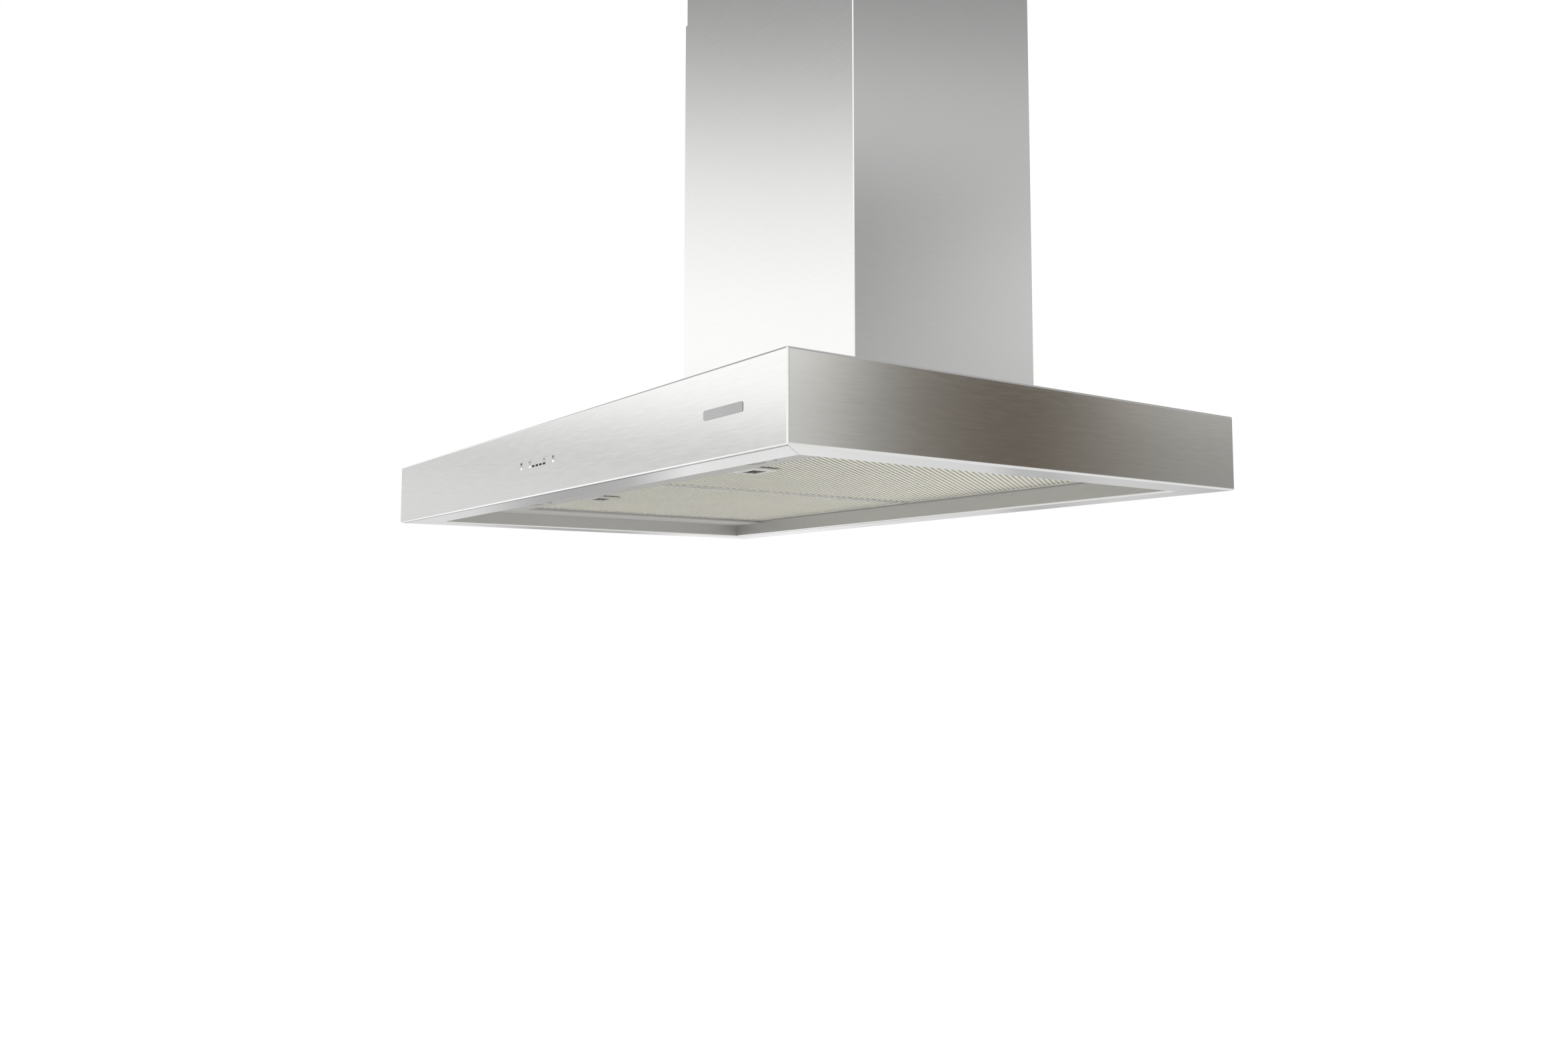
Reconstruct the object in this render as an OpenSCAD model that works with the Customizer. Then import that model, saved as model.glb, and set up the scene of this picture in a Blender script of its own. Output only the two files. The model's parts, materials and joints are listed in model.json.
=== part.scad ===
// Wall-hung chimney range hood: a flat box canopy with two hinged mesh filters, four push keys,
// two lamps, a double-inlet blower and a telescoping duct cover.
// Millimetres, +Z up, +X to the right seen from the front, +Y towards the wall.
// Inside the modules z is measured up from the underside of the rim and y from the wall plane;
// hang() then moves everything so that the origin is the centre of the wall bolt pattern.

/* [Canopy] */
// Overall width
canopy_w = 914; // [760:2:1200]
// Overall depth from the wall
canopy_d = 567; // [472:1:682]
// Overall height of the box
canopy_h = 77; // [72:1:110]
// Stainless sheet thickness
sheet = 1; // [0.8:0.1:1.5]
// Outside radius of the folded edges
edge_r = 2; // [1.8:0.1:3]
// Width of the flat rim round the underside
rim_w = 43; // [35:0.5:52]
// Height of the filter tray above the rim
ledge_h = 17.5; // [15:0.5:20]
// Width of the tray beside the filters
side_strip = 66; // [62:1:80]
// Width of the tray in front of the filters
front_strip = 95; // [86:1:110]
// Gap at sheet seams, taken on each side of a mitre
seam = 0.2; // [0.1:0.1:0.6]

/* [Wall mount] */
// Spacing of the wall bolts across
wall_bolt_x = 600; // [400:10:640]
// Spacing of the wall bolts up and down
wall_bolt_z = 36; // [30:1:40]
// Radius of the wall bolt holes
wall_bolt_r = 4; // [3:0.25:5]

/* [Filters] */
// Thickness of a filter
filter_t = 9; // [7.5:0.1:12]
// Height of the filter face above the tray underside
filter_rise = 3; // [2:0.5:4]
// Gap round the front and back of a filter
filter_gap = 3; // [2.5:0.25:4]
// Width of the lip of a filter frame
filter_lip = 6; // [5:0.5:8]
// Sheet thickness of a filter frame
frame_t = 0.8; // [0.6:0.1:1]
// Radius of a filter hinge pin
hinge_pin_r = 2; // [1.5:0.25:2.5]
// Width of a latch plate
latch_w = 46; // [40:1:56]
// Depth of a latch plate
latch_d = 36; // [34:1:40]
// Travel of a latch bolt
latch_travel = 6; // [5:0.5:6.5]

/* [Controls] */
// Sideways place of the key row
controls_x = -5.5; // [-300:0.5:300]
// Height of the key centres above the rim
key_z = 37.3; // [34:0.1:42]
// Width of a key
key_w = 8.4; // [7:0.1:9]
// Height of a key
key_h = 5.6; // [5:0.1:6]
// Travel of a key
key_travel = 0.6; // [0.3:0.1:0.8]
// Distance of the outer keys from the middle of the row
key_outer = 41.1; // [36:0.1:50]
// Width of a dark indicator window
window_w = 6.6; // [5:0.1:7]
// Spacing of the indicator windows
window_pitch = 9.2; // [8:0.1:10]

/* [Duct cover] */
// Width of the lower duct cover
cover_w = 366; // [305:1:440]
// Depth of the lower duct cover
cover_d = 281; // [270:1:338]
// Height of the top of the lower duct cover above the rim
cover_top = 678; // [620:1:740]
// Sheet thickness of the duct covers
cover_t = 0.8; // [0.6:0.1:1]
// Gap between the two duct covers
slide_gap = 0.7; // [0.5:0.1:1]
// Length of the upper duct cover
upper_len = 600; // [500:5:640]
// Length of the upper cover that shows above the lower one
upper_show = 250; // [220:5:300]

/* [Blower] */
// Height of the blower box
box_h = 260; // [250:1:300]
// Radius of the impeller
impeller_r = 80; // [66:0.5:82]
// Length of the impeller
impeller_len = 130; // [110:1:140]
// Radius of the motor
motor_r = 42; // [36:1:44]
// Radius of the rotor shaft
shaft_r = 4; // [3:0.25:5]
// Radial clearance of turning shafts and pins
run_gap = 0.05; // [0.03:0.01:0.08]
// Outside radius of the exhaust collar
collar_r = 76; // [60:1:76]
// Height of the exhaust collar
collar_h = 54; // [45:1:70]

/* [Hidden] */
$fn = 48;

steel = "#c9cac8";
galvanised = "#a9adb0";
aluminium = "#cfccbd";
dark = "#3a3a3c";
black = "#1c1c1e";

half_w = canopy_w / 2;
wall_bolt_h = canopy_h / 2;
roof_z = canopy_h - sheet;

// Canopy folds
top_return = 28;
front_lip = 3;
front_gap = 1.2;
panel_gap = 0.3;
screw_r = 2;
screw_head_r = 3.5;
screw_head_h = 2;
screw_l = 6;
screw_gap = 0.2;
screw_inset = 21;

// Recess and filter opening
recess_x = half_w - rim_w;
recess_front = -canopy_d + rim_w;
recess_back = -rim_w;
tray_overlap = 10;
opening_x = recess_x - side_strip;
opening_front = recess_front + front_strip;
rail_gap = 3;
tray_wall_top = ledge_h + filter_rise + filter_t + rail_gap;
centre_bar_w = 24;

// Filters: the two are the same, one each side of the middle
centre_ear_t = 3;
side_ear_t = 2;
ear_gap = 0.8;
pin_bite = 1.2;
filter_z = ledge_h + filter_rise;
filter_in = centre_ear_t / 2 + ear_gap;
filter_out = opening_x - 2 * ear_gap - side_ear_t;
filter_w = filter_out - filter_in;
filter_mid = (filter_in + filter_out) / 2;
filter_front = opening_front + filter_gap;
filter_back = recess_back - filter_gap;
filter_top = filter_z + filter_t;
hinge_y = filter_back - 5;
hinge_z = filter_z + filter_t / 2;
ear_front = hinge_y - 11;
mesh_t = 1;

// Latch, measured from the front edge of its filter
latch_plate_t = 1.4;
latch_front = filter_front + 1.5;
latch_back = latch_front + latch_d;
pocket_w = 23;
pocket_d = 16;
pocket_x = -3;
pocket_front = latch_front + 12.5;
case_w = 32;
case_wall = 1;
case_top = filter_top - frame_t - mesh_t;
bolt_w = 22;
bolt_z0 = filter_z + 3;
bolt_t = 2.5;
bolt_gap = 0.2;
bolt_reach = 1.5;
bolt_nose = opening_front - bolt_reach;
nose_w = 10;
nose_back = filter_front + frame_t + 2 * case_wall + bolt_gap;
notch_gap = 0.5;
tab_t = 2.5;
tab_w = 17;
tab_front = pocket_front + pocket_d - 1 - latch_travel - tab_t;
tab_drop = 1;
spring_r = 1.6;
spring_wire = 0.25;
spring_turns = 6;
spring_back = latch_back - case_wall;
spring_solid = 4;
bolt_back = spring_back - spring_solid - latch_travel;

// Controls
face_y = -canopy_d;
key_gap = 0.08;
key_proud = 0.1;
key_round = 1.2;
key_flange = 0.8;
key_flange_t = 0.8;
key_inner = 2 * window_pitch;
stem_r = 1.5;
switch_w = 6;
flange_gap = 0.1;
switch_room = 2;
switch_y = face_y + sheet + flange_gap + key_flange_t + key_travel + switch_room;
switch_t = 3.5;
board_y = switch_y + switch_t;
board_ledge = 1;
board_t = 1.6;
board_w = 110;
board_h = 20;
carrier_wall = 3;
stem_end = switch_y + 1;
lit_w = 4.4;
window_h = 2;
window_d = 2.8;
window_z = key_z - 4.7;
window_gap = 0.05;
controls_z = window_z + 2;
keys = [-key_outer, -key_inner, key_inner, key_outer];
lit = [-key_outer, -key_inner, key_outer];
unlit = [-window_pitch, 0, window_pitch, key_inner];

// Badge
badge_w = 60;
badge_h = 8.5;
badge_t = 0.6;
badge_round = 2;
badge_x = 0.8 * half_w;
badge_z = 0.5 * canopy_h;

// Lamps
lamp_x = 0.55 * half_w;
lamp_y = recess_front + 0.5 * front_strip;
lamp_r = 27;
lamp_hole_r = 30;
lamp_flange_r = 36;
lamp_gap = 0.3;
lamp_seat = 1;
bezel_t = 2;
bezel_h = 6;
lens_drop = 0.5;
lens_t = 2.5;
sink_t = 3;
fins = 4;
fin_t = 2;
fin_inset = 7;

// Electrical boxes on the tray: size, then distance from the recess wall and from its front
driver_size = [40, 120, 26];
driver_at = [12, 170];
module_size = [44, 160, 34];
module_at = [10, 130];

// Duct covers
cover_x = cover_w / 2;
cover_flange = 12;
upper_x = cover_x - cover_t - slide_gap;
upper_front = -cover_d + cover_t + slide_gap;
upper_back = -cover_t - slide_gap;
upper_top = cover_top + upper_show;
clip_t = 1.2;
clip_h = 22;
clip_gap = 0.5;
clip_y0 = 0.7;
clip_y1 = 0.3;

// Strap that holds the upper cover: it follows the wall, steps round the cover's flanges and
// ends in ears inside the cover's sides
strap_t = 1.6;
strap_z1 = upper_top - 20;
strap_z0 = strap_z1 - 40;
strap_mid = (strap_z0 + strap_z1) / 2;
strap_in = upper_x - cover_t - cover_flange - 3;
strap_out = upper_x - cover_t - 0.1;
strap_step = 12;
strap_ear = 40;
strap_screw_y = -25;
strap_bolt_x = 100;
strap_bolt_r = 3;

// Blower box, sized to stand inside the duct covers
box_gap = 10;
box_t = 1;
box_x = upper_x - cover_t - box_gap;
box_front = upper_front + cover_t + box_gap;
box_back = -9;
box_top = roof_z + box_h;
box_flange = 12;
scroll_gap = 10;
scroll_growth = 35;
scroll_x = impeller_len / 2 + scroll_gap;
scroll_r0 = impeller_r + scroll_gap;
scroll_r1 = scroll_r0 + scroll_growth;
scroll_inset = 4;
scroll_lift = 8;
tongue_a = -16;
axle_y = box_front + box_t + scroll_inset + scroll_r(90);
axle_z = roof_z + scroll_lift + scroll_r(180);
outlet_front = axle_y - scroll_r0 * sin(tongue_a);
outlet_back = axle_y + scroll_r1;
collar_y = (outlet_front + outlet_back) / 2;
inlet_r = impeller_r - 14;
mouth_l = 4;
mouth_t = 4;
disc_t = 2;
blades = 30;
blade_l = 11;
blade_t = 1;
blade_tilt = 35;
hub_r = 12;
hub_l = 16;
motor_x = 14;
motor_len = 78;
motor_neck = 4;
motor_step = 10;
shaft_stub = 12;
shaft_end = motor_x + 46;
bracket_t = 2.5;
bracket_ring = 4;
bracket_arm_w = 12;
bracket_foot = 6;

// Exhaust collar and its two flaps
collar_t = 1.5;
plate_t = 2;
plate_edge = 4;
collar_screw = min(collar_r - plate_edge, box_back - box_t - screw_head_r - collar_y);
flap_z = box_top + 18;
flap_gap = 2;
flap_t = 1.6;
flap_r = collar_r - collar_t - flap_gap;
flap_axle = 4;
flap_pin_r = 1.5;
flap_barrel_r = 2.6;
flap_pin_end = collar_r - collar_t / 2;
rest_ring_t = 3;
rest_gap = 0.3;
flap_room = 0.4;

// Electrical parts on the blower box
junction_w = 74;
junction_d = 84;
junction_h = 42;
junction_x = -box_x + 8;
junction_y = box_front + 10;
gland_r = 5.5;
gland_x = junction_x + 20;
gland_y = junction_y + 26;
capacitor_r = 20;
capacitor_h = 74;
capacitor_x = box_x - 46;
capacitor_y = box_front + 46;
terminal = [0.8, 6, 9];
terminal_x = 6;
junction_t = 1;
lid_t = 1.2;
gland_wall = 2.5;
gland_neck = 8;
gland_nut_r = gland_r + 6;
gland_nut_h = 5;
gland_cap_r = gland_r + 4.5;
gland_cap_h = 14;

function scroll_r(a) = scroll_r0 + (scroll_r1 - scroll_r0) * (a - tongue_a) / (270 - tongue_a);
function scroll_point(a, inset) =
    [axle_y - (scroll_r(a) - inset) * sin(a), axle_z + (scroll_r(a) - inset) * cos(a)];

// ---------- shared pieces ----------

module hang() translate([0, 0, -wall_bolt_h]) children();

module block(x0, x1, y0, y1, z0, z1) translate([x0, y0, z0]) cube([x1 - x0, y1 - y0, z1 - z0]);

module region(u0, u1, v0, v1) translate([u0, v0]) square([u1 - u0, v1 - v0]);

// A quarter-round sheet bend about (u, v), from angle a to a + 90
module bend(u, v, a) translate([u, v]) intersection() {
    difference() {
        circle(edge_r);
        circle(edge_r - sheet);
    }
    rotate(a) square(edge_r + 1);
}

// Folded wall in section: u runs inwards from the outer face, v runs up
module wall_section(fold_w) {
    region(edge_r, top_return, canopy_h - sheet, canopy_h);
    bend(edge_r, canopy_h - edge_r, 90);
    region(0, sheet, edge_r, canopy_h - edge_r);
    bend(edge_r, edge_r, 180);
    region(edge_r, fold_w, 0, sheet);
}

// Rim flange with its upright edge in section, up to the flange's outer edge at u = from
module rim_section(from) {
    region(from, rim_w - edge_r, 0, sheet);
    bend(rim_w - edge_r, edge_r, 270);
    region(rim_w - sheet, rim_w, edge_r, ledge_h);
}

// Stand a (u, v) section up and run it along X, with u = 0 at the front face
module run_x(half) translate([-half, face_y, 0]) rotate([90, 0, 90])
    linear_extrude(2 * half) children();

// Stand a (u, v) section up and run it along Y, with u = 0 at the right face
module run_y() translate([half_w, 0, 0]) mirror([1, 0, 0]) rotate([90, 0, 0])
    linear_extrude(canopy_d) children();

module both_sides() {
    children();
    mirror([1, 0, 0]) children();
}

// Everything that lies nearer the front face than the side faces, up to 45 degree mitres
module front_wedge(gap) translate([0, 0, -1]) linear_extrude(canopy_h + 2) polygon([
    [-half_w + gap, face_y], [half_w - gap, face_y],
    [half_w - rim_w - gap, face_y + rim_w], [-half_w + rim_w + gap, face_y + rim_w]]);

module back_wedge(gap) translate([0, 0, -1]) linear_extrude(canopy_h + 2) polygon([
    [-half_w + gap, 0], [half_w - gap, 0],
    [half_w - rim_w - gap, -rim_w], [-half_w + rim_w + gap, -rim_w]]);

module rounded_bar(w, h, r, len) linear_extrude(len) {
    square([w - 2 * r, h], center = true);
    square([w, h - 2 * r], center = true);
    for (x = [-1, 1], y = [-1, 1])
        translate([x * (w / 2 - r), y * (h / 2 - r)]) circle(r);
}

module pan_screw() {
    cylinder(r = screw_head_r, h = screw_head_h);
    translate([0, 0, -screw_l]) cylinder(r = screw_r, h = screw_l);
}

// Helical wire of round section along +Z
module coil(r, wire, len, turns) {
    sides = 8;
    steps = 12 * turns;
    points = [for (i = [0:steps], k = [0:sides - 1])
        let (a = 30 * i, b = 360 * k / sides, q = r + wire * cos(b))
        [q * cos(a), q * sin(a), wire + (len - 2 * wire) * i / steps + wire * sin(b)]];
    walls = [for (i = [0:steps - 1], k = [0:sides - 1])
        let (n = (k + 1) % sides)
        [i * sides + k, (i + 1) * sides + k, (i + 1) * sides + n, i * sides + n]];
    first = [for (k = [0:sides - 1]) k];
    last = [for (k = [0:sides - 1]) steps * sides + sides - 1 - k];
    polyhedron(points, concat(walls, [first, last]));
}

// ---------- canopy ----------

module roof_screw_places() for (s = [-1, 1]) {
    for (x = [0.3, 0.85]) translate([s * x * half_w, face_y + screw_inset, 0]) children();
    for (y = [0.15, 0.75]) translate([s * (half_w - screw_inset), -y * canopy_d, 0]) children();
}

module key_place(x) translate([controls_x + x, face_y, key_z]) rotate([-90, 0, 0]) children();

module window_place(x) translate([controls_x + x, face_y, window_z]) rotate([-90, 0, 0])
    children();

module canopy_wrap() color(steel) hang() difference() {
    intersection() {
        union() {
            intersection() {
                run_x(half_w) wall_section(front_lip);
                front_wedge(0);
            }
            both_sides() difference() {
                run_y() {
                    wall_section(rim_w - edge_r);
                    rim_section(edge_r);
                }
                front_wedge(0);
                intersection() {
                    union() {
                        front_wedge(-seam);
                        back_wedge(-seam);
                    }
                    block(0, half_w - sheet, face_y, 1, -1, ledge_h + 1);
                }
            }
        }
        translate([0, 0, -1]) linear_extrude(canopy_h + 2) {
            region(-half_w, half_w, face_y + edge_r, 1);
            region(-half_w + edge_r, half_w - edge_r, face_y, face_y + edge_r + 1);
            for (s = [-1, 1])
                translate([s * (half_w - edge_r), face_y + edge_r]) circle(edge_r);
        }
    }
    for (x = keys) translate([0, -1, 0]) key_place(x)
        rounded_bar(key_w + 2 * key_gap, key_h + 2 * key_gap, key_round, sheet + 2);
    for (x = lit) window_place(x) window_block(lit_w, window_gap);
    for (x = unlit) window_place(x) window_block(window_w, window_gap);
    roof_screw_places() translate([0, 0, roof_z - 1]) cylinder(r = screw_r + screw_gap, h = 4);
}

module front_rim() color(steel) hang() intersection() {
    run_x(half_w) rim_section(front_lip + front_gap);
    front_wedge(seam);
}

module back_panel() color(steel) hang() difference() {
    intersection() {
        mirror([0, 1, 0]) translate([0, canopy_d, 0]) run_x(half_w) {
            region(0, sheet, edge_r, roof_z - sheet);
            bend(edge_r, edge_r, 180);
            rim_section(edge_r);
        }
        union() {
            back_wedge(seam);
            block(-half_w, half_w, -sheet, 0, edge_r, canopy_h);
        }
        block(-half_w + sheet + panel_gap, half_w - sheet - panel_gap, -rim_w, 0, -1, canopy_h);
    }
    for (x = [-1, 1], z = [-1, 1])
        translate([x * wall_bolt_x / 2, 1, wall_bolt_h + z * wall_bolt_z / 2])
            rotate([90, 0, 0]) cylinder(r = wall_bolt_r, h = 4);
}

module box_screw_places() for (s = [-1, 1], y = [0.12, 0.5, 0.88])
    translate([s * (box_x - box_flange / 2), box_front + y * (box_back - box_front), 0]) children();

module top_panel() color(steel) hang() difference() {
    block(-half_w + edge_r + panel_gap, half_w - edge_r - panel_gap,
        face_y + edge_r + panel_gap, 0, roof_z - sheet, roof_z);
    block(-box_x + box_flange + 2, box_x - box_flange - 2,
        box_front + box_flange + 2, box_back - box_flange - 2, 0, canopy_h);
    roof_screw_places() cylinder(r = screw_r + screw_gap, h = canopy_h);
    box_screw_places() cylinder(r = screw_r + screw_gap, h = canopy_h);
}

module canopy_screws() color(steel) hang() roof_screw_places()
    translate([0, 0, canopy_h]) pan_screw();

// ---------- filter tray ----------

module filter_tray() color(steel) hang() difference() {
    union() {
        difference() {
            block(-recess_x - tray_overlap, recess_x + tray_overlap,
                recess_front - tray_overlap, recess_back + tray_overlap, ledge_h, ledge_h + sheet);
            block(-opening_x, opening_x, opening_front, recess_back, 0, canopy_h);
        }
        difference() {
            block(-opening_x - sheet, opening_x + sheet, opening_front - sheet,
                recess_back + sheet, ledge_h, tray_wall_top);
            block(-opening_x, opening_x, opening_front, recess_back, 0, canopy_h);
        }
    }
    for (s = [-1, 1]) {
        block(s * filter_mid - nose_w / 2 - notch_gap, s * filter_mid + nose_w / 2 + notch_gap,
            bolt_nose - notch_gap, opening_front + 1, 0, bolt_z0 + bolt_t + notch_gap);
        translate([s * lamp_x, lamp_y, 0]) cylinder(r = lamp_hole_r, h = canopy_h);
    }
}

module filter_centre_bar() color(steel) hang() block(-centre_bar_w / 2, centre_bar_w / 2,
    opening_front - sheet, ear_front - seam, tray_wall_top, tray_wall_top + sheet);

// Rail over the back of the filters, with three slotted ears that the hinge pins slide into
module filter_rear_rail() color(steel) hang() difference() {
    union() {
        block(-opening_x - sheet, opening_x + sheet, ear_front, recess_back + sheet,
            tray_wall_top, tray_wall_top + sheet);
        block(-centre_ear_t / 2, centre_ear_t / 2, ear_front, recess_back - 1,
            filter_z, tray_wall_top + sheet / 2);
        for (s = [-1, 1])
            translate([s * (opening_x - ear_gap - side_ear_t / 2), 0, 0])
                block(-side_ear_t / 2, side_ear_t / 2, ear_front, recess_back - 1,
                    filter_z, tray_wall_top + sheet / 2);
    }
    translate([-half_w, hinge_y, hinge_z]) rotate([0, 90, 0])
        cylinder(r = hinge_pin_r + run_gap, h = canopy_w);
    block(-half_w, half_w, ear_front - 1, hinge_y,
        hinge_z - hinge_pin_r - run_gap, hinge_z + hinge_pin_r + run_gap);
}

// ---------- filters ----------

// A filter is drawn about its own middle, then set left or right
module at_filter(side) hang() translate([side * filter_mid, 0, 0]) children();

module filter_box(inset, z0, z1) block(-filter_w / 2 + inset, filter_w / 2 - inset,
    filter_front + inset, filter_back - inset, z0, z1);

module latch_hole(margin) block(-case_w / 2 - margin, case_w / 2 + margin,
    filter_front + frame_t, latch_back + margin, filter_z, case_top + 0.001);

module filter_frame(side) color(aluminium) at_filter(side) {
    difference() {
        filter_box(0, filter_z, filter_top);
        filter_box(frame_t, filter_z + frame_t, filter_top - frame_t);
        filter_box(filter_lip, filter_z - 1, filter_top + 1);
        latch_hole(0);
        block(-nose_w / 2 - bolt_gap, nose_w / 2 + bolt_gap, filter_front - 1,
            filter_front + filter_lip, bolt_z0 - bolt_gap, bolt_z0 + bolt_t + bolt_gap);
    }
    hinge_pin(side, 1);
    hinge_pin(side, -1);
}

// One end of the hinge: it reaches into the side ear or into its half of the centre ear
module hinge_pin(side, end) translate([end * (filter_w / 2 - frame_t / 2), hinge_y, hinge_z])
    rotate([0, end * 90, 0])
        cylinder(r = hinge_pin_r, h = frame_t / 2 + ear_gap + pin_bite);

module filter_sheet(side, z0, z1) color(aluminium) at_filter(side) difference() {
    filter_box(frame_t, z0, z1);
    if (z0 < case_top) latch_hole(0);
}

module latch_case(side) color(aluminium) at_filter(side) difference() {
    union() {
        block(-latch_w / 2, latch_w / 2, latch_front, latch_back, filter_z - latch_plate_t, filter_z);
        block(-case_w / 2, case_w / 2, filter_front + frame_t, latch_back, filter_z, case_top);
    }
    block(-case_w / 2 + case_wall, case_w / 2 - case_wall, filter_front + frame_t + case_wall,
        latch_back - case_wall, filter_z, case_top - case_wall);
    block(pocket_x - pocket_w / 2, pocket_x + pocket_w / 2, pocket_front,
        pocket_front + pocket_d, filter_z - 5, filter_z + 1);
    block(-nose_w / 2 - bolt_gap, nose_w / 2 + bolt_gap, filter_front - 1,
        filter_front + frame_t + 2 * case_wall, bolt_z0 - bolt_gap, bolt_z0 + bolt_t + bolt_gap);
}

module latch_bolt(side) color(dark) at_filter(side) {
    block(-nose_w / 2, nose_w / 2, bolt_nose, nose_back + 1, bolt_z0, bolt_z0 + bolt_t);
    block(-bolt_w / 2, bolt_w / 2, nose_back, bolt_back, bolt_z0, bolt_z0 + bolt_t);
    block(pocket_x - tab_w / 2, pocket_x + tab_w / 2, tab_front, tab_front + tab_t,
        filter_z - tab_drop, bolt_z0 + bolt_t / 2);
}

module latch_spring(side) color(steel) at_filter(side)
    translate([0, bolt_back, bolt_z0 + bolt_t / 2]) rotate([-90, 0, 0])
        coil(spring_r, spring_wire, spring_back - bolt_back, spring_turns);

module filter_left_frame() filter_frame(-1);
module filter_right_frame() filter_frame(1);
module filter_left_face() filter_sheet(-1, filter_z + frame_t, filter_z + frame_t + mesh_t);
module filter_right_face() filter_sheet(1, filter_z + frame_t, filter_z + frame_t + mesh_t);
module filter_left_core() filter_sheet(-1, filter_z + frame_t + mesh_t, case_top);
module filter_right_core() filter_sheet(1, filter_z + frame_t + mesh_t, case_top);
module filter_left_back() filter_sheet(-1, case_top, case_top + mesh_t);
module filter_right_back() filter_sheet(1, case_top, case_top + mesh_t);
module latch_left_case() latch_case(-1);
module latch_right_case() latch_case(1);
module latch_left_bolt() latch_bolt(-1);
module latch_right_bolt() latch_bolt(1);
module latch_left_spring() latch_spring(-1);
module latch_right_spring() latch_spring(1);

// ---------- controls ----------

module key(x) color(steel) hang() key_place(x) {
    translate([0, 0, -key_proud])
        rounded_bar(key_w, key_h, key_round, key_proud + sheet + 2 * flange_gap);
    translate([0, 0, sheet + flange_gap])
        rounded_bar(key_w + 2 * key_flange, key_h + 2 * key_flange, key_round, key_flange_t);
    translate([0, 0, sheet + flange_gap])
        cylinder(r = stem_r, h = stem_end - face_y - sheet - flange_gap);
}

module key_lights() key(keys[0]);
module key_slower() key(keys[1]);
module key_faster() key(keys[2]);
module key_fan() key(keys[3]);

// A window, or with a gap the hole for it, which runs on past the sheet
module window_block(w, gap) translate([0, 0, window_d / 2])
    cube([w + 2 * gap, window_h + 2 * gap, window_d + 20 * gap], center = true);

module lit_windows() color("white") hang() for (x = lit) window_place(x) window_block(lit_w, 0);

module dark_windows() color(black) hang() for (x = unlit) window_place(x)
    window_block(window_w, 0);

module control_carrier() color(dark) hang() translate([controls_x, 0, controls_z]) difference() {
    block(-board_w / 2 - carrier_wall, board_w / 2 + carrier_wall, face_y + sheet,
        board_y + board_t, -board_h / 2 - carrier_wall, board_h / 2 + carrier_wall);
    block(-board_w / 2 + board_ledge, board_w / 2 - board_ledge, face_y, board_y + 5,
        -board_h / 2 + board_ledge, board_h / 2 - board_ledge);
    block(-board_w / 2, board_w / 2, board_y, board_y + 5, -board_h / 2, board_h / 2);
}

module control_board() color("#2d5a3a") hang() {
    translate([controls_x, 0, controls_z])
        block(-board_w / 2, board_w / 2, board_y, board_y + board_t, -board_h / 2, board_h / 2);
    for (x = keys) difference() {
        translate([controls_x + x, 0, key_z])
            block(-switch_w / 2, switch_w / 2, switch_y, board_y, -switch_w / 2, switch_w / 2);
        key_place(x) cylinder(r = stem_r + run_gap, h = stem_end - face_y + key_travel + flange_gap);
    }
}

module blank_badge() color("#a8a9a8") hang()
    translate([badge_x, face_y - badge_t, badge_z]) rotate([-90, 0, 0])
        rounded_bar(badge_w, badge_h, badge_round, badge_t);

// ---------- lamps ----------

module at_lamp(side) hang() translate([side * lamp_x, lamp_y, ledge_h]) children();

module lamp_bezel(side) color(steel) at_lamp(side) difference() {
    union() {
        translate([0, 0, -bezel_t]) cylinder(r = lamp_flange_r, h = bezel_t);
        cylinder(r = lamp_hole_r - lamp_gap, h = bezel_h);
    }
    translate([0, 0, -bezel_t - 1]) cylinder(r = lamp_r - lamp_seat, h = 12);
    translate([0, 0, -lens_drop]) cylinder(r = lamp_r, h = 12);
}

module lamp_lens(side) color("white") at_lamp(side) translate([0, 0, -lens_drop])
    cylinder(r = lamp_r, h = lens_t);

module lamp_body(side) color(aluminium) at_lamp(side) {
    translate([0, 0, bezel_h - sink_t]) cylinder(r = lamp_r - 2 * lamp_seat, h = sink_t + 0.01);
    translate([0, 0, bezel_h]) cylinder(r = lamp_hole_r, h = sink_t);
    for (i = [0:fins - 1]) translate([0, 0, bezel_h + sink_t + 2 * i * fin_t]) {
        cylinder(r = lamp_r - fin_inset, h = fin_t + 0.01);
        translate([0, 0, fin_t]) cylinder(r = lamp_r, h = fin_t + 0.01);
    }
}

module lamp_left_bezel() lamp_bezel(-1);
module lamp_right_bezel() lamp_bezel(1);
module lamp_left_lens() lamp_lens(-1);
module lamp_right_lens() lamp_lens(1);
module lamp_left_body() lamp_body(-1);
module lamp_right_body() lamp_body(1);

module led_driver() color("white") hang()
    translate([-recess_x + driver_at[0], recess_front + driver_at[1], ledge_h + sheet])
        cube(driver_size);

module control_module() color(dark) hang()
    translate([recess_x - module_at[0] - module_size[0], recess_front + module_at[1],
        ledge_h + sheet]) cube(module_size);

// ---------- blower ----------

module blower_box() color(galvanised) hang() difference() {
    block(-box_x, box_x, box_front, box_back, roof_z, box_top);
    block(-box_x + box_t, box_x - box_t, box_front + box_t, box_back - box_t,
        roof_z + box_t, box_top - box_t);
    block(-box_x + box_flange, box_x - box_flange, box_front + box_flange, box_back - box_flange,
        roof_z - 1, roof_z + 5);
    block(-scroll_x + 1, scroll_x - 1, outlet_front + 1, outlet_back - 1,
        box_top - 5, box_top + 5);
    box_screw_places() translate([0, 0, roof_z - 1]) cylinder(r = screw_r + screw_gap, h = 4);
    collar_screw_places() translate([0, 0, box_top - 3]) cylinder(r = screw_r + screw_gap, h = 5);
}

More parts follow.
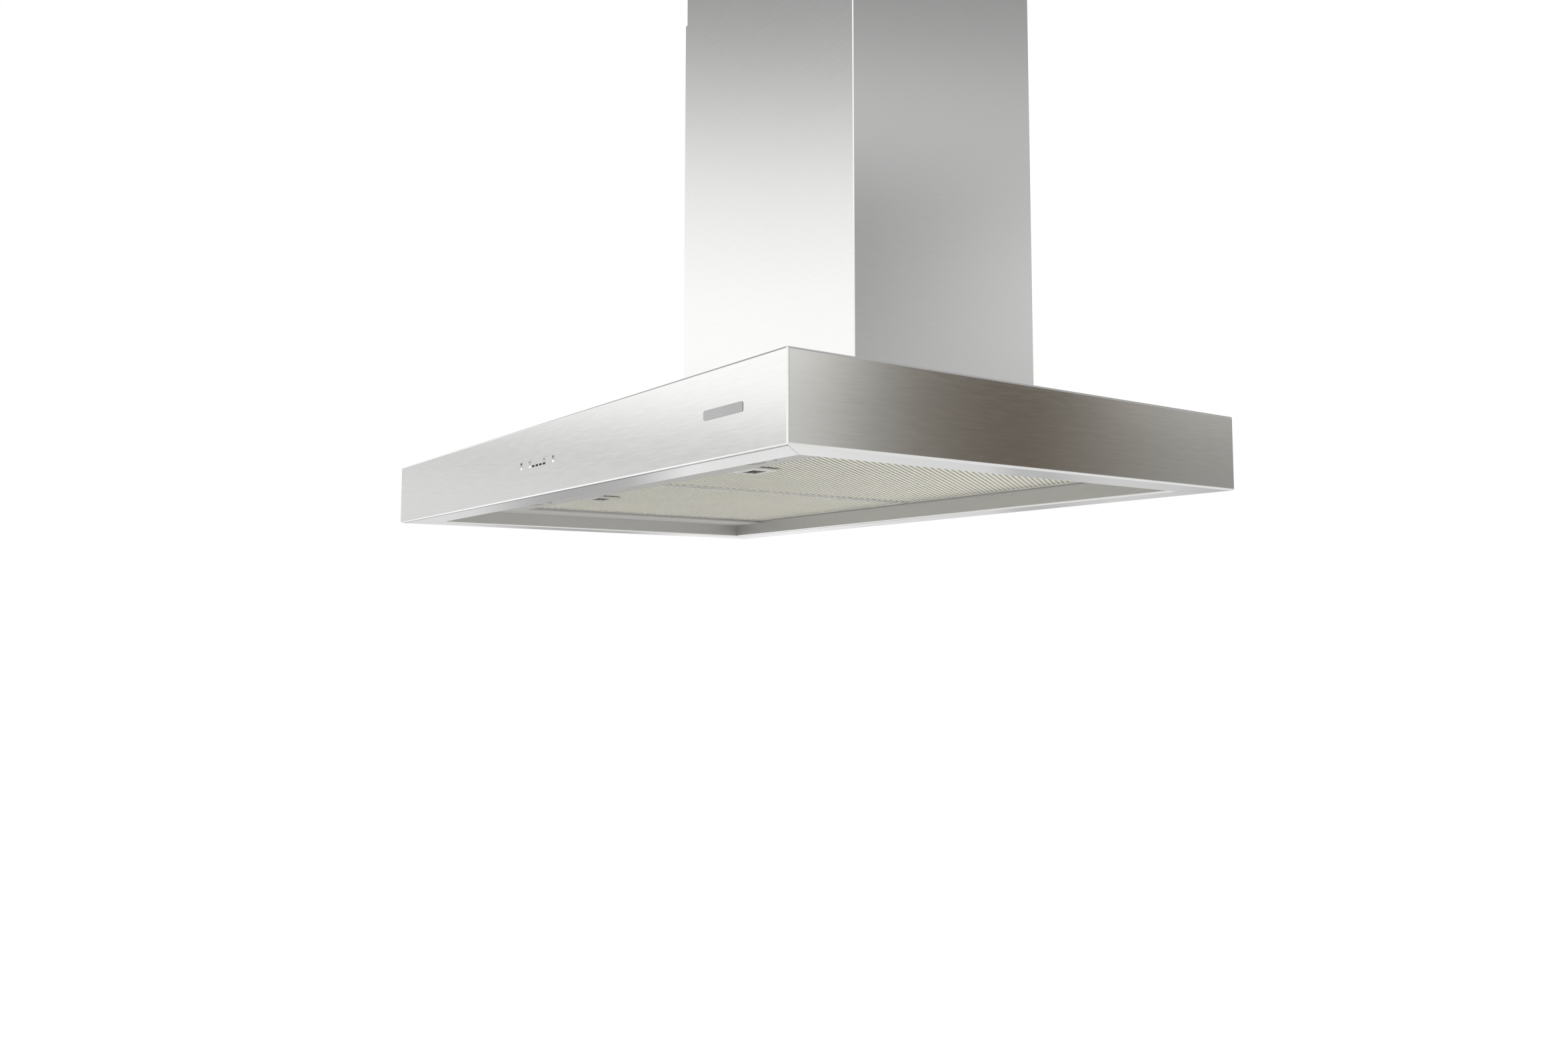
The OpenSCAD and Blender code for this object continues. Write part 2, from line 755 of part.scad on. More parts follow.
// The spiral starts where its inside meets the inside of the outlet's front wall
module scroll_outline(inset) {
    start = -asin((outlet_front + inset - axle_y) / (scroll_r0 - inset));
    polygon(concat(
        [for (i = [0:26]) scroll_point(start + (270 - start) * i / 26, inset)],
        [[outlet_back - inset, box_top - box_t], [outlet_front + inset, box_top - box_t]]));
}

// Stand a (y, z) outline up and give it a thickness along X from x0 to x1
module slab_x(x0, x1) translate([x0, 0, 0]) rotate([90, 0, 90]) linear_extrude(x1 - x0)
    children();

module scroll_wrap() color(galvanised) hang() difference() {
    slab_x(-scroll_x, scroll_x) scroll_outline(0);
    slab_x(-scroll_x - 1, scroll_x + 1) scroll_outline(box_t);
    block(-scroll_x - 1, scroll_x + 1, outlet_front + box_t, outlet_back - box_t,
        box_top - 5, box_top + 5);
}

module scroll_side() translate([scroll_x, 0, 0]) difference() {
    union() {
        slab_x(0, box_t) scroll_outline(0);
        translate([0, axle_y, axle_z]) rotate([0, 90, 0]) cylinder(r = inlet_r + mouth_t, h = mouth_l);
    }
    translate([-1, axle_y, axle_z]) rotate([0, 90, 0]) cylinder(r = inlet_r, h = mouth_l + 2);
}

module scroll_side_right() color(galvanised) hang() scroll_side();
module scroll_side_left() color(galvanised) hang() mirror([1, 0, 0]) scroll_side();

module on_axle(x) hang() translate([x, axle_y, axle_z]) rotate([0, 90, 0]) children();

module impeller() color(dark) on_axle(-impeller_len / 2) {
    difference() {
        union() {
            translate([0, 0, (impeller_len - disc_t) / 2]) cylinder(r = impeller_r, h = disc_t);
            translate([0, 0, (impeller_len - hub_l) / 2]) cylinder(r = hub_r, h = hub_l);
        }
        cylinder(r = shaft_r, h = impeller_len);
    }
    for (z = [0, impeller_len - disc_t]) translate([0, 0, z]) difference() {
        cylinder(r = impeller_r, h = disc_t);
        translate([0, 0, -1]) cylinder(r = inlet_r, h = disc_t + 2);
    }
    for (i = [0:blades - 1]) rotate(360 * i / blades)
        translate([(impeller_r + inlet_r) / 2, 0, disc_t / 2]) rotate(blade_tilt)
            translate([-blade_l / 2, -blade_t / 2, 0])
                cube([blade_l, blade_t, impeller_len - disc_t]);
}

module rotor_shaft() color(steel) on_axle(-shaft_stub)
    cylinder(r = shaft_r, h = shaft_end + shaft_stub);

module motor() color("#8d9196") on_axle(motor_x) difference() {
    union() {
        cylinder(r = motor_r - motor_step, h = motor_len);
        translate([0, 0, motor_neck]) cylinder(r = motor_r, h = motor_len - 2 * motor_neck);
    }
    translate([0, 0, -1]) cylinder(r = shaft_r + run_gap, h = shaft_end - motor_x + 3);
}

module motor_bracket() color(galvanised) on_axle(scroll_x + box_t) {
    difference() {
        translate([0, 0, mouth_l]) cylinder(r = motor_r + bracket_ring, h = 2 * bracket_t);
        translate([0, 0, mouth_l - 1]) cylinder(r = motor_r, h = 2 * bracket_t + 2);
    }
    for (a = [30, 150, 270]) rotate(a) {
        block(motor_r + bracket_ring - 1, inlet_r + 2 * bracket_foot,
            -bracket_arm_w / 2, bracket_arm_w / 2, mouth_l, mouth_l + bracket_t);
        block(inlet_r + bracket_foot, inlet_r + 2 * bracket_foot,
            -bracket_arm_w / 2, bracket_arm_w / 2, 0, mouth_l + 1);
    }
}

module collar_screw_places() for (x = [-1, 1], y = [-1, 1])
    translate([x * collar_screw, collar_y + y * collar_screw, 0]) children();

module duct_collar() color(dark) hang() translate([0, collar_y, box_top]) difference() {
    union() {
        block(-collar_r - plate_edge, collar_r + plate_edge,
            -collar_r - plate_edge, box_back - collar_y, 0, plate_t);
        cylinder(r = collar_r, h = collar_h);
    }
    translate([0, 0, -1]) cylinder(r = flap_r - rest_ring_t, h = collar_h + 2);
    translate([0, 0, flap_z - box_top - flap_t / 2 - rest_gap])
        cylinder(r = collar_r - collar_t, h = collar_h);
    for (y = [-1, 1]) translate([-collar_r - 1, y * flap_axle, flap_z - box_top])
        rotate([0, 90, 0]) cylinder(r = flap_pin_r + run_gap, h = 2 * collar_r + 2);
    for (y = [-1, 1]) translate([0, y * flap_axle, flap_z - box_top - 1])
        block(-flap_r, flap_r, -flap_barrel_r - flap_room, flap_barrel_r + flap_room,
            -flap_barrel_r, flap_barrel_r + flap_room);
    translate([0, -collar_y, -box_top]) collar_screw_places()
        translate([0, 0, box_top - 1]) cylinder(r = screw_r + screw_gap, h = 5);
}

// side is -1 for the front flap and 1 for the rear one
module damper(side) color("#5a5d60") hang() translate([0, collar_y, flap_z]) {
    intersection() {
        translate([0, 0, -flap_t / 2]) cylinder(r = flap_r, h = flap_t);
        if (side > 0) block(-flap_r, flap_r, flap_axle, flap_r, -2, 2);
        else block(-flap_r, flap_r, -flap_r, -flap_axle, -2, 2);
    }
    translate([-flap_r + 1, side * flap_axle, 0]) rotate([0, 90, 0])
        cylinder(r = flap_barrel_r, h = 2 * flap_r - 2);
    translate([-flap_pin_end, side * flap_axle, 0]) rotate([0, 90, 0])
        cylinder(r = flap_pin_r, h = 2 * flap_pin_end);
}

module damper_front() damper(-1);
module damper_rear() damper(1);

module blower_screws() color(steel) hang() {
    box_screw_places() translate([0, 0, roof_z + box_t]) pan_screw();
    collar_screw_places() translate([0, 0, box_top + plate_t]) pan_screw();
}

module motor_capacitor() color("#e4e4e0") hang() translate([capacitor_x, capacitor_y, box_top]) {
    cylinder(r = capacitor_r, h = capacitor_h);
    for (s = [-1, 1]) translate([s * terminal_x, 0, capacitor_h - 1])
        translate([-terminal[0] / 2, -terminal[1] / 2, 0]) cube(terminal);
}

module junction_box() color(galvanised) hang() translate([junction_x, junction_y, box_top])
    difference() {
        cube([junction_w, junction_d, junction_h]);
        translate([junction_t, junction_t, junction_t])
            cube([junction_w - 2 * junction_t, junction_d - 2 * junction_t, junction_h]);
        translate([gland_x - junction_x, -1, junction_h / 2]) rotate([-90, 0, 0])
            cylinder(r = gland_r + gland_wall, h = junction_t + 2);
    }

module junction_cover() color(galvanised) hang()
    translate([junction_x, junction_y, box_top + junction_h]) difference() {
        cube([junction_w, junction_d, lid_t]);
        translate([gland_x - junction_x, gland_y - junction_y, -1])
            cylinder(r = gland_r + gland_wall, h = lid_t + 2);
    }

module cable_gland() color(black) hang()
    translate([gland_x, gland_y, box_top + junction_h]) difference() {
        union() {
            translate([0, 0, -gland_neck]) cylinder(r = gland_r + gland_wall, h = gland_neck + lid_t);
            translate([0, 0, lid_t]) cylinder(r = gland_nut_r, h = gland_nut_h, $fn = 6);
            translate([0, 0, lid_t + gland_nut_h]) cylinder(r = gland_cap_r, h = gland_cap_h);
            translate([0, 0, 1 - gland_nut_h]) cylinder(r = gland_nut_r - 1, h = gland_nut_h - 1, $fn = 6);
        }
        translate([0, 0, -gland_neck - 1]) cylinder(r = gland_r, h = 40);
    }

// ---------- duct covers ----------

// Open-backed channel: front and side walls, with narrow flanges turned in at the wall
module channel(x, y_front, y_back, z0, z1) translate([0, 0, z0]) linear_extrude(z1 - z0)
    difference() {
        channel_plan(x, y_front, y_back, edge_r);
        channel_plan(x - cover_t, y_front + cover_t, y_back - cover_t, edge_r - cover_t);
        region(-x + cover_flange, x - cover_flange, y_back - 2 * cover_t, y_back + 1);
    }

module channel_plan(x, y_front, y_back, r) {
    region(-x + r, x - r, y_front, y_back);
    region(-x, x, y_front + r, y_back);
    for (s = [-1, 1]) translate([s * (x - r), y_front + r]) circle(r);
}

module lower_duct_cover() color(steel) hang() channel(cover_x, -cover_d, 0, roof_z, cover_top);

module bracket_screw_places() for (s = [-1, 1])
    translate([s * upper_x, strap_screw_y, strap_mid]) rotate([0, s * 90, 0]) children();

module upper_duct_cover() color(steel) hang() difference() {
    channel(upper_x, upper_front, upper_back, upper_top - upper_len, upper_top);
    bracket_screw_places() translate([0, 0, -5]) cylinder(r = screw_r + screw_gap, h = 10);
}

module upper_cover_bracket() color(galvanised) hang() difference() {
    for (s = [0, 1]) mirror([s, 0, 0]) {
        block(0, strap_in, -strap_t, 0, strap_z0, strap_z1);
        block(strap_in - strap_t, strap_in, -strap_step, 0, strap_z0, strap_z1);
        block(strap_in - strap_t, strap_out, -strap_step, strap_t - strap_step, strap_z0, strap_z1);
        block(strap_out - strap_t, strap_out, -strap_ear, strap_t - strap_step, strap_z0, strap_z1);
    }
    bracket_screw_places() translate([0, 0, -5]) cylinder(r = screw_r + screw_gap, h = 10);
    for (s = [-1, 1]) translate([s * strap_bolt_x, 1, strap_mid]) rotate([90, 0, 0])
        cylinder(r = strap_bolt_r, h = 4);
}

module upper_cover_screws() color(steel) hang() bracket_screw_places() pan_screw();

module cover_base_clips() color(galvanised) hang() for (s = [0, 1]) mirror([s, 0, 0]) {
    block(box_x + clip_gap, cover_x - cover_t, -clip_y0 * cover_d, -clip_y1 * cover_d,
        roof_z, roof_z + clip_t);
    block(cover_x - cover_t - clip_t, cover_x - cover_t, -clip_y0 * cover_d,
        -clip_y1 * cover_d, roof_z, roof_z + clip_h);
}

canopy_wrap();
front_rim();
back_panel();
top_panel();
filter_tray();
filter_centre_bar();
filter_rear_rail();
blank_badge();
key_lights();
key_slower();
key_faster();
key_fan();
lit_windows();
dark_windows();
control_carrier();
control_board();
lamp_left_bezel();
lamp_left_lens();
lamp_left_body();
lamp_right_bezel();
lamp_right_lens();
lamp_right_body();
led_driver();
control_module();
filter_left_frame();
filter_left_face();
filter_left_core();
filter_left_back();
latch_left_case();
latch_left_bolt();
latch_left_spring();
filter_right_frame();
filter_right_face();
filter_right_core();
filter_right_back();
latch_right_case();
latch_right_bolt();
latch_right_spring();
blower_box();
scroll_wrap();
scroll_side_left();
scroll_side_right();
impeller();
rotor_shaft();
motor();
motor_bracket();
motor_capacitor();
duct_collar();
damper_front();
damper_rear();
junction_box();
junction_cover();
cable_gland();
lower_duct_cover();
upper_duct_cover();
upper_cover_bracket();
cover_base_clips();
canopy_screws();
blower_screws();
upper_cover_screws();
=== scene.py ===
import json
import math

import bmesh
import bpy
from mathutils import Matrix, Vector


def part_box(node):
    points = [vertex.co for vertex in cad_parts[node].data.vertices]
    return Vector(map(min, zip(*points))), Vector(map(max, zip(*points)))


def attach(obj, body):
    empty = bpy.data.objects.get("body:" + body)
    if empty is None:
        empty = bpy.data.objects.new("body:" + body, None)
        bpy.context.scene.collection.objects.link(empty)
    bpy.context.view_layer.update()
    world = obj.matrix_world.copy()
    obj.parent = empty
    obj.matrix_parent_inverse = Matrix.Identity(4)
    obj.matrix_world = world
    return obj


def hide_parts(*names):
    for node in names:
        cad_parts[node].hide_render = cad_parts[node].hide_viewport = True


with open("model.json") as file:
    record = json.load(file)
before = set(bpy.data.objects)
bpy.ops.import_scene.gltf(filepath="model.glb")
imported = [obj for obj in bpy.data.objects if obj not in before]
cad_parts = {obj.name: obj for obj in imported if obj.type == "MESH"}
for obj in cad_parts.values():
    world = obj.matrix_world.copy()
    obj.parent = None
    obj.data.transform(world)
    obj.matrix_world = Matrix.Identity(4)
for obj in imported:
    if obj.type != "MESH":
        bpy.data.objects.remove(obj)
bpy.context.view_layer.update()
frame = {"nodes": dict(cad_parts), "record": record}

MM = 0.001

# ---------- places taken from the frame ----------

canopy_lo, canopy_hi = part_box("canopy_wrap")
canopy_width = canopy_hi.x - canopy_lo.x
canopy_foot = Vector((
    (canopy_lo.x + canopy_hi.x) / 2, (canopy_lo.y + canopy_hi.y) / 2, canopy_lo.z))


# ---------- camera ----------

# Place of the camera from the middle of the canopy's underside, in canopy widths
CAMERA_OFFSET = Vector((1.3187, -0.8953, -0.1473))
CAMERA_PAN = math.radians(54.597)
CAMERA_TILT = math.radians(4.65)
LENS_MM = 27.917
SENSOR_MM = 36.0
CLIP_NEAR, CLIP_FAR = 0.02, 60.0


def make_camera():
    """The photo's camera, placed from the canopy."""
    data = bpy.data.cameras.new("camera")
    data.lens = LENS_MM
    data.sensor_width = SENSOR_MM
    data.clip_start = CLIP_NEAR
    data.clip_end = CLIP_FAR
    camera = bpy.data.objects.new("camera", data)
    bpy.context.scene.collection.objects.link(camera)
    camera.location = canopy_foot + canopy_width * CAMERA_OFFSET
    camera.rotation_euler = (math.radians(90) + CAMERA_TILT, 0.0, CAMERA_PAN)
    bpy.context.scene.camera = camera


make_camera()


# ---------- node helpers ----------

def feed(tree, target, value):
    """Links a socket, or sets a plain value."""
    if isinstance(value, bpy.types.NodeSocket):
        tree.links.new(value, target)
    else:
        target.default_value = value


def add(tree, kind, inputs=None, **settings):
    """New shader node with its properties set and its inputs fed."""
    made = tree.nodes.new("ShaderNode" + kind)
    for name, value in settings.items():
        setattr(made, name, value)
    for name, value in (inputs or {}).items():
        feed(tree, made.inputs[name], value)
    return made


def maths(tree, operation, a, b=0.0):
    return add(tree, "Math", {0: a, 1: b}, operation=operation).outputs[0]


def spread(tree, value, low, high, out_low=0.0, out_high=1.0, smooth=False):
    """Value from low..high carried over to out_low..out_high, and held there."""
    made = add(tree, "MapRange", {
        "Value": value, "From Min": low, "From Max": high, "To Min": out_low, "To Max": out_high})
    if smooth:
        made.interpolation_type = "SMOOTHSTEP"
    return made.outputs["Result"]


def mix_colour(tree, factor, a, b):
    """Blend of two colours.  A Mix node keeps its colours at inputs 6 and 7, its result at output 2."""
    made = add(tree, "Mix", data_type="RGBA", clamp_factor=True)
    feed(tree, made.inputs[0], factor)
    feed(tree, made.inputs[6], a)
    feed(tree, made.inputs[7], b)
    return made.outputs[2]


def ramp(tree, factor, stops, low, high):
    """Colour ramp over low..high whose stops are (value, colour)."""
    made = add(tree, "ValToRGB", {"Fac": spread(tree, factor, low, high)})
    elements = made.color_ramp.elements
    while len(elements) < len(stops):
        elements.new(1.0)
    for element, (value, colour) in zip(elements, stops):
        element.position = (value - low) / (high - low)
        element.color = colour
    return made.outputs["Color"]


# Base reflectance of the polished steel
STEEL = 0.76


def level(value):
    """Light level that polished steel shows as this 8-bit sRGB grey."""
    share = value / 255
    linear = share / 12.92 if share <= 0.04045 else ((share + 0.055) / 1.055) ** 2.4
    return linear / STEEL


# ---------- studio ----------

# Strength of the sky; its colours are divided by it, so that bright levels stay under one
PEAK = 1.4
FLOOR_DROP = 1.65
FLOOR_RADIUS = 2.3
FLOOR_SIDES = 96
FLOOR_PALE = (0.80, 0.80, 0.79, 1.0)
FLOOR_GLOW = 0.3

# The sky's greys are those that the mirroring steel shows.  Heights are degrees above the horizon,
# turns are degrees from +X, and a pair is the range over which one part fades into the next.
SKY_TOP = 60

# What the front faces mirror, by height
FRONT_SKY = [(0, 209), (6, 209), (7.6, 200), (8.4, 208), (9.4, 225), (10.4, 243), (11.5, 252),
    (15, 249), (18, 238), (20, 228), (22, 212), (24, 193), (26, 173), (28, 154), (31, 152), (60, 205)]

# What the folds between front and right faces mirror: its grey, its two sides and its foot
VIEWER_SIDE = 244
VIEWER_START, VIEWER_END = (-118, -88), (-28, 4)
VIEWER_FOOT = (-4, 2)

# What the right faces mirror, by height, at the small turns and past SIDE_SPLIT
RIGHT_START, RIGHT_END = (-30, 15), (100, 140)
SIDE_SPLIT = (38, 48)
SIDE_NEAR_SKY = [(0, 200), (10, 170), (13, 160), (17, 152), (19, 155), (21, 173), (22.6, 187),
    (24.3, 184), (26, 167), (27.6, 154), (29.5, 139), (34, 150), (60, 190)]
SIDE_FAR_SKY = [(0, 185), (10, 187), (13, 198), (16, 197), (19, 186), (22.6, 180), (24.3, 171),
    (26, 156), (29, 139), (34, 150), (60, 190)]

# What lies below the horizon, by turn.  The walls are pale with two dark room corners; the
# downward faces mirror them.
WALL_TOP = (-3, 0)
LOW_WALL = [(-180, 206), (-165, 210), (0, 210), (40, 196), (125, 172), (127, 186), (130, 187),
    (131.6, 171), (133.2, 158), (134.8, 194), (139, 200), (144, 222), (147, 214), (149.5, 219),
    (151.5, 168), (154, 155), (156.5, 162), (158.5, 197), (161, 202), (163, 198), (180, 204)]
# The skirting and the pale floor in front of it; the folds of the sheet mirror them
SKIRTING_TOP, SKIRTING_FOOT = (-11, -9.5), (-19.5, -18.3)
SKIRTING = [(-180, 240), (-160, 236), (-150, 210), (100, 212), (138, 212), (143, 132), (156, 132),
    (162, 215), (180, 215)]
NEAR_FLOOR = [(-180, 252), (-152, 252), (-145, 212), (100, 225), (140, 225), (146, 140), (162, 140),
    (168, 252), (180, 252)]


def grey_stops(stops):
    """Greys of the mirrored sky as colours of a ramp."""
    return [(value, (*(level(g) / PEAK,) * 3, 1.0)) for value, g in stops]


def make_world():
    """White to the camera, and a room of greys to everything else."""
    world = bpy.data.worlds.new("studio")
    bpy.context.scene.world = world
    world.use_nodes = True
    tree = world.node_tree
    tree.nodes.clear()
    direction = add(tree, "SeparateXYZ", {0: add(tree, "TexCoord").outputs["Generated"]})
    height = maths(tree, "DEGREES", maths(tree, "ARCSINE", direction.outputs[2]))
    turn = maths(tree, "DEGREES", maths(
        tree, "ARCTAN2", direction.outputs[1], direction.outputs[0]))
    front, near, far = (
        ramp(tree, height, grey_stops(stops), 0, SKY_TOP)
        for stops in (FRONT_SKY, SIDE_NEAR_SKY, SIDE_FAR_SKY))
    side = mix_colour(tree, spread(tree, turn, *SIDE_SPLIT), near, far)
    right = maths(tree, "MULTIPLY", spread(tree, turn, *RIGHT_START, smooth=True),
        spread(tree, turn, *RIGHT_END, 1, 0, smooth=True))
    above = mix_colour(tree, right, front, side)
    low_wall, skirting, near_floor = (
        ramp(tree, turn, grey_stops(stops), -180, 180) for stops in (LOW_WALL, SKIRTING, NEAR_FLOOR))
    below = mix_colour(tree, spread(tree, height, *SKIRTING_FOOT, smooth=True), near_floor, skirting)
    ground = mix_colour(tree, spread(tree, height, *SKIRTING_TOP, smooth=True), below, low_wall)
    room = mix_colour(tree, spread(tree, height, *WALL_TOP, smooth=True), ground, above)
    viewer_side = maths(tree, "MULTIPLY", spread(tree, turn, *VIEWER_START, smooth=True),
        spread(tree, turn, *VIEWER_END, 1, 0, smooth=True))
    seen_side = maths(tree, "MULTIPLY", viewer_side, spread(tree, height, *VIEWER_FOOT))
    sky = mix_colour(tree, seen_side, room, (*(level(VIEWER_SIDE) / PEAK,) * 3, 1.0))
    studio = add(tree, "Background", {"Color": sky, "Strength": PEAK})
    white = add(tree, "Background", {"Color": (1, 1, 1, 1), "Strength": 1.0})
    seen = add(tree, "LightPath").outputs["Is Camera Ray"]
    mixed = add(tree, "MixShader", {0: seen, 1: studio.outputs[0], 2: white.outputs[0]})
    out = add(tree, "OutputWorld")
    tree.links.new(mixed.outputs[0], out.inputs["Surface"])


def make_floor():
    """A pale disc as far below the rim as a kitchen floor is."""
    mesh = bpy.data.meshes.new("floor")
    shape = bmesh.new()
    bmesh.ops.create_circle(shape, cap_ends=True, segments=FLOOR_SIDES, radius=FLOOR_RADIUS)
    shape.to_mesh(mesh)
    shape.free()
    floor = bpy.data.objects.new("floor", mesh)
    bpy.context.scene.collection.objects.link(floor)
    floor.location = (canopy_foot.x, canopy_foot.y, canopy_foot.z - FLOOR_DROP)
    material = bpy.data.materials.new("floor_pale")
    material.use_nodes = True
    shader = material.node_tree.nodes["Principled BSDF"]
    shader.inputs["Base Color"].default_value = FLOOR_PALE
    shader.inputs["Roughness"].default_value = 0.9
    shader.inputs["Emission Color"].default_value = (1, 1, 1, 1)
    shader.inputs["Emission Strength"].default_value = FLOOR_GLOW
    mesh.materials.append(material)


# Dark card that only mirrors see, as a room corner beside the canopy: how far it stands from the
# canopy's right side, its ends behind the canopy's front edge, its height from the canopy's foot,
# how far its ends fade out, and the colour that the steel shows along it, by distance behind the
# front edge
CORNER_GAP = 0.643
CORNER_LEFT, CORNER_RIGHT = 0.35, 1.75
CORNER_FOOT, CORNER_TOP = -0.02, 0.30
CORNER_FADE_IN, CORNER_FADE_OUT = 0.12, 0.1
CORNER_TONES = [(0.45, (200, 200, 199)), (0.52, (183, 181, 177)), (0.61, (146, 145, 140)),
    (0.71, (121, 116, 109)), (0.81, (105, 99, 91)), (0.90, (98, 91, 83)), (0.98, (101, 94, 86)),
    (1.08, (114, 109, 101)), (1.17, (129, 124, 118)), (1.26, (138, 136, 130)),
    (1.40, (148, 146, 142)), (1.60, (152, 150, 146))]
# Near both of its ends the card is dimmer low down and brighter high up: the share of that change
# along it, and the change of strength by height above the canopy's foot
CORNER_ENDS = [(0.45, 1.0), (0.60, 0.7), (0.72, 0.0), (1.05, 0.0), (1.20, 1.0), (1.60, 1.0)]
CORNER_RISE = [(0.13, -0.07), (0.19, 0.0), (0.25, 0.20)]


def make_dark_corner():
    """The dark card, which fades out at both ends."""
    mesh = bpy.data.meshes.new("dark_corner")
    front = canopy_lo.y
    x = canopy_hi.x + CORNER_GAP
    corners = [(x, front + y, canopy_lo.z + z) for y, z in (
        (CORNER_LEFT, CORNER_FOOT), (CORNER_RIGHT, CORNER_FOOT),
        (CORNER_RIGHT, CORNER_TOP), (CORNER_LEFT, CORNER_TOP))]
    mesh.from_pydata(corners, [], [(0, 1, 2, 3)])
    corner = bpy.data.objects.new("dark_corner", mesh)
    bpy.context.scene.collection.objects.link(corner)
    corner.visible_camera = False
    corner.visible_diffuse = False
    corner.visible_shadow = False
    material = bpy.data.materials.new("dark_corner")
    material.use_nodes = True
    tree = material.node_tree
    tree.nodes.clear()
    place = add(tree, "SeparateXYZ", {0: add(tree, "NewGeometry").outputs["Position"]})
    behind = maths(tree, "SUBTRACT", place.outputs[1], front)
    stops = [(value, (*(level(g) for g in tone), 1.0)) for value, tone in CORNER_TONES]
    tone = ramp(tree, behind, stops, CORNER_LEFT, CORNER_RIGHT)
    fade = maths(tree, "MULTIPLY",
        spread(tree, behind, CORNER_LEFT, CORNER_LEFT + CORNER_FADE_IN, smooth=True),
        spread(tree, behind, CORNER_RIGHT - CORNER_FADE_OUT, CORNER_RIGHT, 1, 0, smooth=True))
    above = maths(tree, "SUBTRACT", place.outputs[2], canopy_lo.z)
    ends = ramp(tree, behind, [(at, (share, share, share, 1)) for at, share in CORNER_ENDS],
        CORNER_LEFT, CORNER_RIGHT)
    (low, dimmer), (middle, same), (high, brighter) = CORNER_RISE
    rise = maths(tree, "ADD", spread(tree, above, low, middle, dimmer, same),
        spread(tree, above, middle, high, same, brighter))
    strength = maths(tree, "ADD", maths(tree, "MULTIPLY", rise, ends), 1.0)
    glow = add(tree, "Emission", {"Color": tone, "Strength": strength})
    clear = add(tree, "BsdfTransparent")
    mixed = add(tree, "MixShader", {0: fade, 1: clear.outputs[0], 2: glow.outputs[0]})
    out = add(tree, "OutputMaterial")
    tree.links.new(mixed.outputs[0], out.inputs["Surface"])
    mesh.materials.append(material)


SOFTBOX_SIZE = (1.6, 1.2)
SOFTBOX_WATTS = 18
SOFTBOX_PLACE = Vector((-1.2, -2.4, 1.9))
SOFTBOX_AIM = Vector((0, -0.3, 0.2))


def make_softbox():
    """Large soft light over the front left, which mirrors do not see."""
    data = bpy.data.lights.new("softbox", "AREA")
    data.shape = "RECTANGLE"
    data.size, data.size_y = SOFTBOX_SIZE
    data.energy = SOFTBOX_WATTS
    light = bpy.data.objects.new("softbox", data)
    bpy.context.scene.collection.objects.link(light)
    light.location = SOFTBOX_PLACE
    light.rotation_euler = (SOFTBOX_AIM - SOFTBOX_PLACE).to_track_quat("-Z", "Y").to_euler()
    light.visible_glossy = False


make_world()
make_floor()
make_dark_corner()
make_softbox()
bpy.context.scene.view_settings.view_transform = "Standard"
bpy.context.scene.view_settings.look = "None"


# ---------- materials ----------

# The recess inside the rims: its place, the painted shade on the brushed sheets in it (a darker base
# colour), and their duller finish
RIM_WIDTH = 43 * MM
RETURN_BEND = 2 * MM
RETURN_HEIGHT = 20 * MM
RECESS_FADE = 1 * MM
# Darker steel colour low in the recess: painted shade
RECESS_SHADE_STEEL = (0.56, 0.555, 0.54, 1)
WALL_DULLING = 0.3

# One diamond of the filters' expanded mesh
MESH_X = 6.86 * MM
MESH_Y = 9.63 * MM

# Scales of the brushed grain, along the streaks and across them
HAIR_GRAIN = (30, 2600)
SOFT_GRAIN = (45, 520)
# A face is flat, and not upright, when its normal rises more than this
FLAT_RISE = 0.7
# Heights of the relief in brushed sheet and in other finishes
GRAIN_HEIGHT = 0.01 * MM
GRIT_HEIGHT = 0.1 * MM
# Parts of a noise's range that are spread over a finish: the narrow one has more contrast
NARROW = (0.35, 0.65)
WIDE = (0.3, 0.7)
# How far the crystals of zinc are bent out of straight
ZINC_WANDER = 6 * MM


def new_material(name):
    """An empty Principled material: its tree, its shader and the coordinates in metres."""
    material = bpy.data.materials.new(name)
    material.use_nodes = True
    tree = material.node_tree
    shader = tree.nodes["Principled BSDF"]
    coords = add(tree, "TexCoord").outputs["Object"]
    return material, tree, shader, coords


def noise(tree, coords, scale, detail=2.0):
    return add(tree, "TexNoise", {"Vector": coords, "Scale": scale, "Detail": detail}).outputs["Fac"]


def stretch(tree, coords, x, y, z):
    return add(tree, "VectorMath", {0: coords, 1: (x, y, z)}, operation="MULTIPLY").outputs[0]


def bump(tree, shader, height, strength, distance):
    made = add(tree, "Bump", {"Height": height, "Strength": strength, "Distance": distance})
    tree.links.new(made.outputs[0], shader.inputs["Normal"])


def grain_coords(tree, coords, along, across, flat_along_x):
    """Coordinates whose noise makes streaks: level on upright faces, along X or Y on flat ones."""
    upright = stretch(tree, coords, along, along, across)
    flat = (stretch(tree, coords, along, across, along) if flat_along_x
        else stretch(tree, coords, across, along, along))
    facing = add(tree, "SeparateXYZ", {0: add(tree, "NewGeometry").outputs["Normal"]}).outputs[2]
    is_flat = maths(tree, "GREATER_THAN", maths(tree, "ABSOLUTE", facing), FLAT_RISE)
    made = add(tree, "Mix", data_type="VECTOR")
    feed(tree, made.inputs[0], is_flat)
    feed(tree, made.inputs[4], upright)
    feed(tree, made.inputs[5], flat)
    return made.outputs[1]


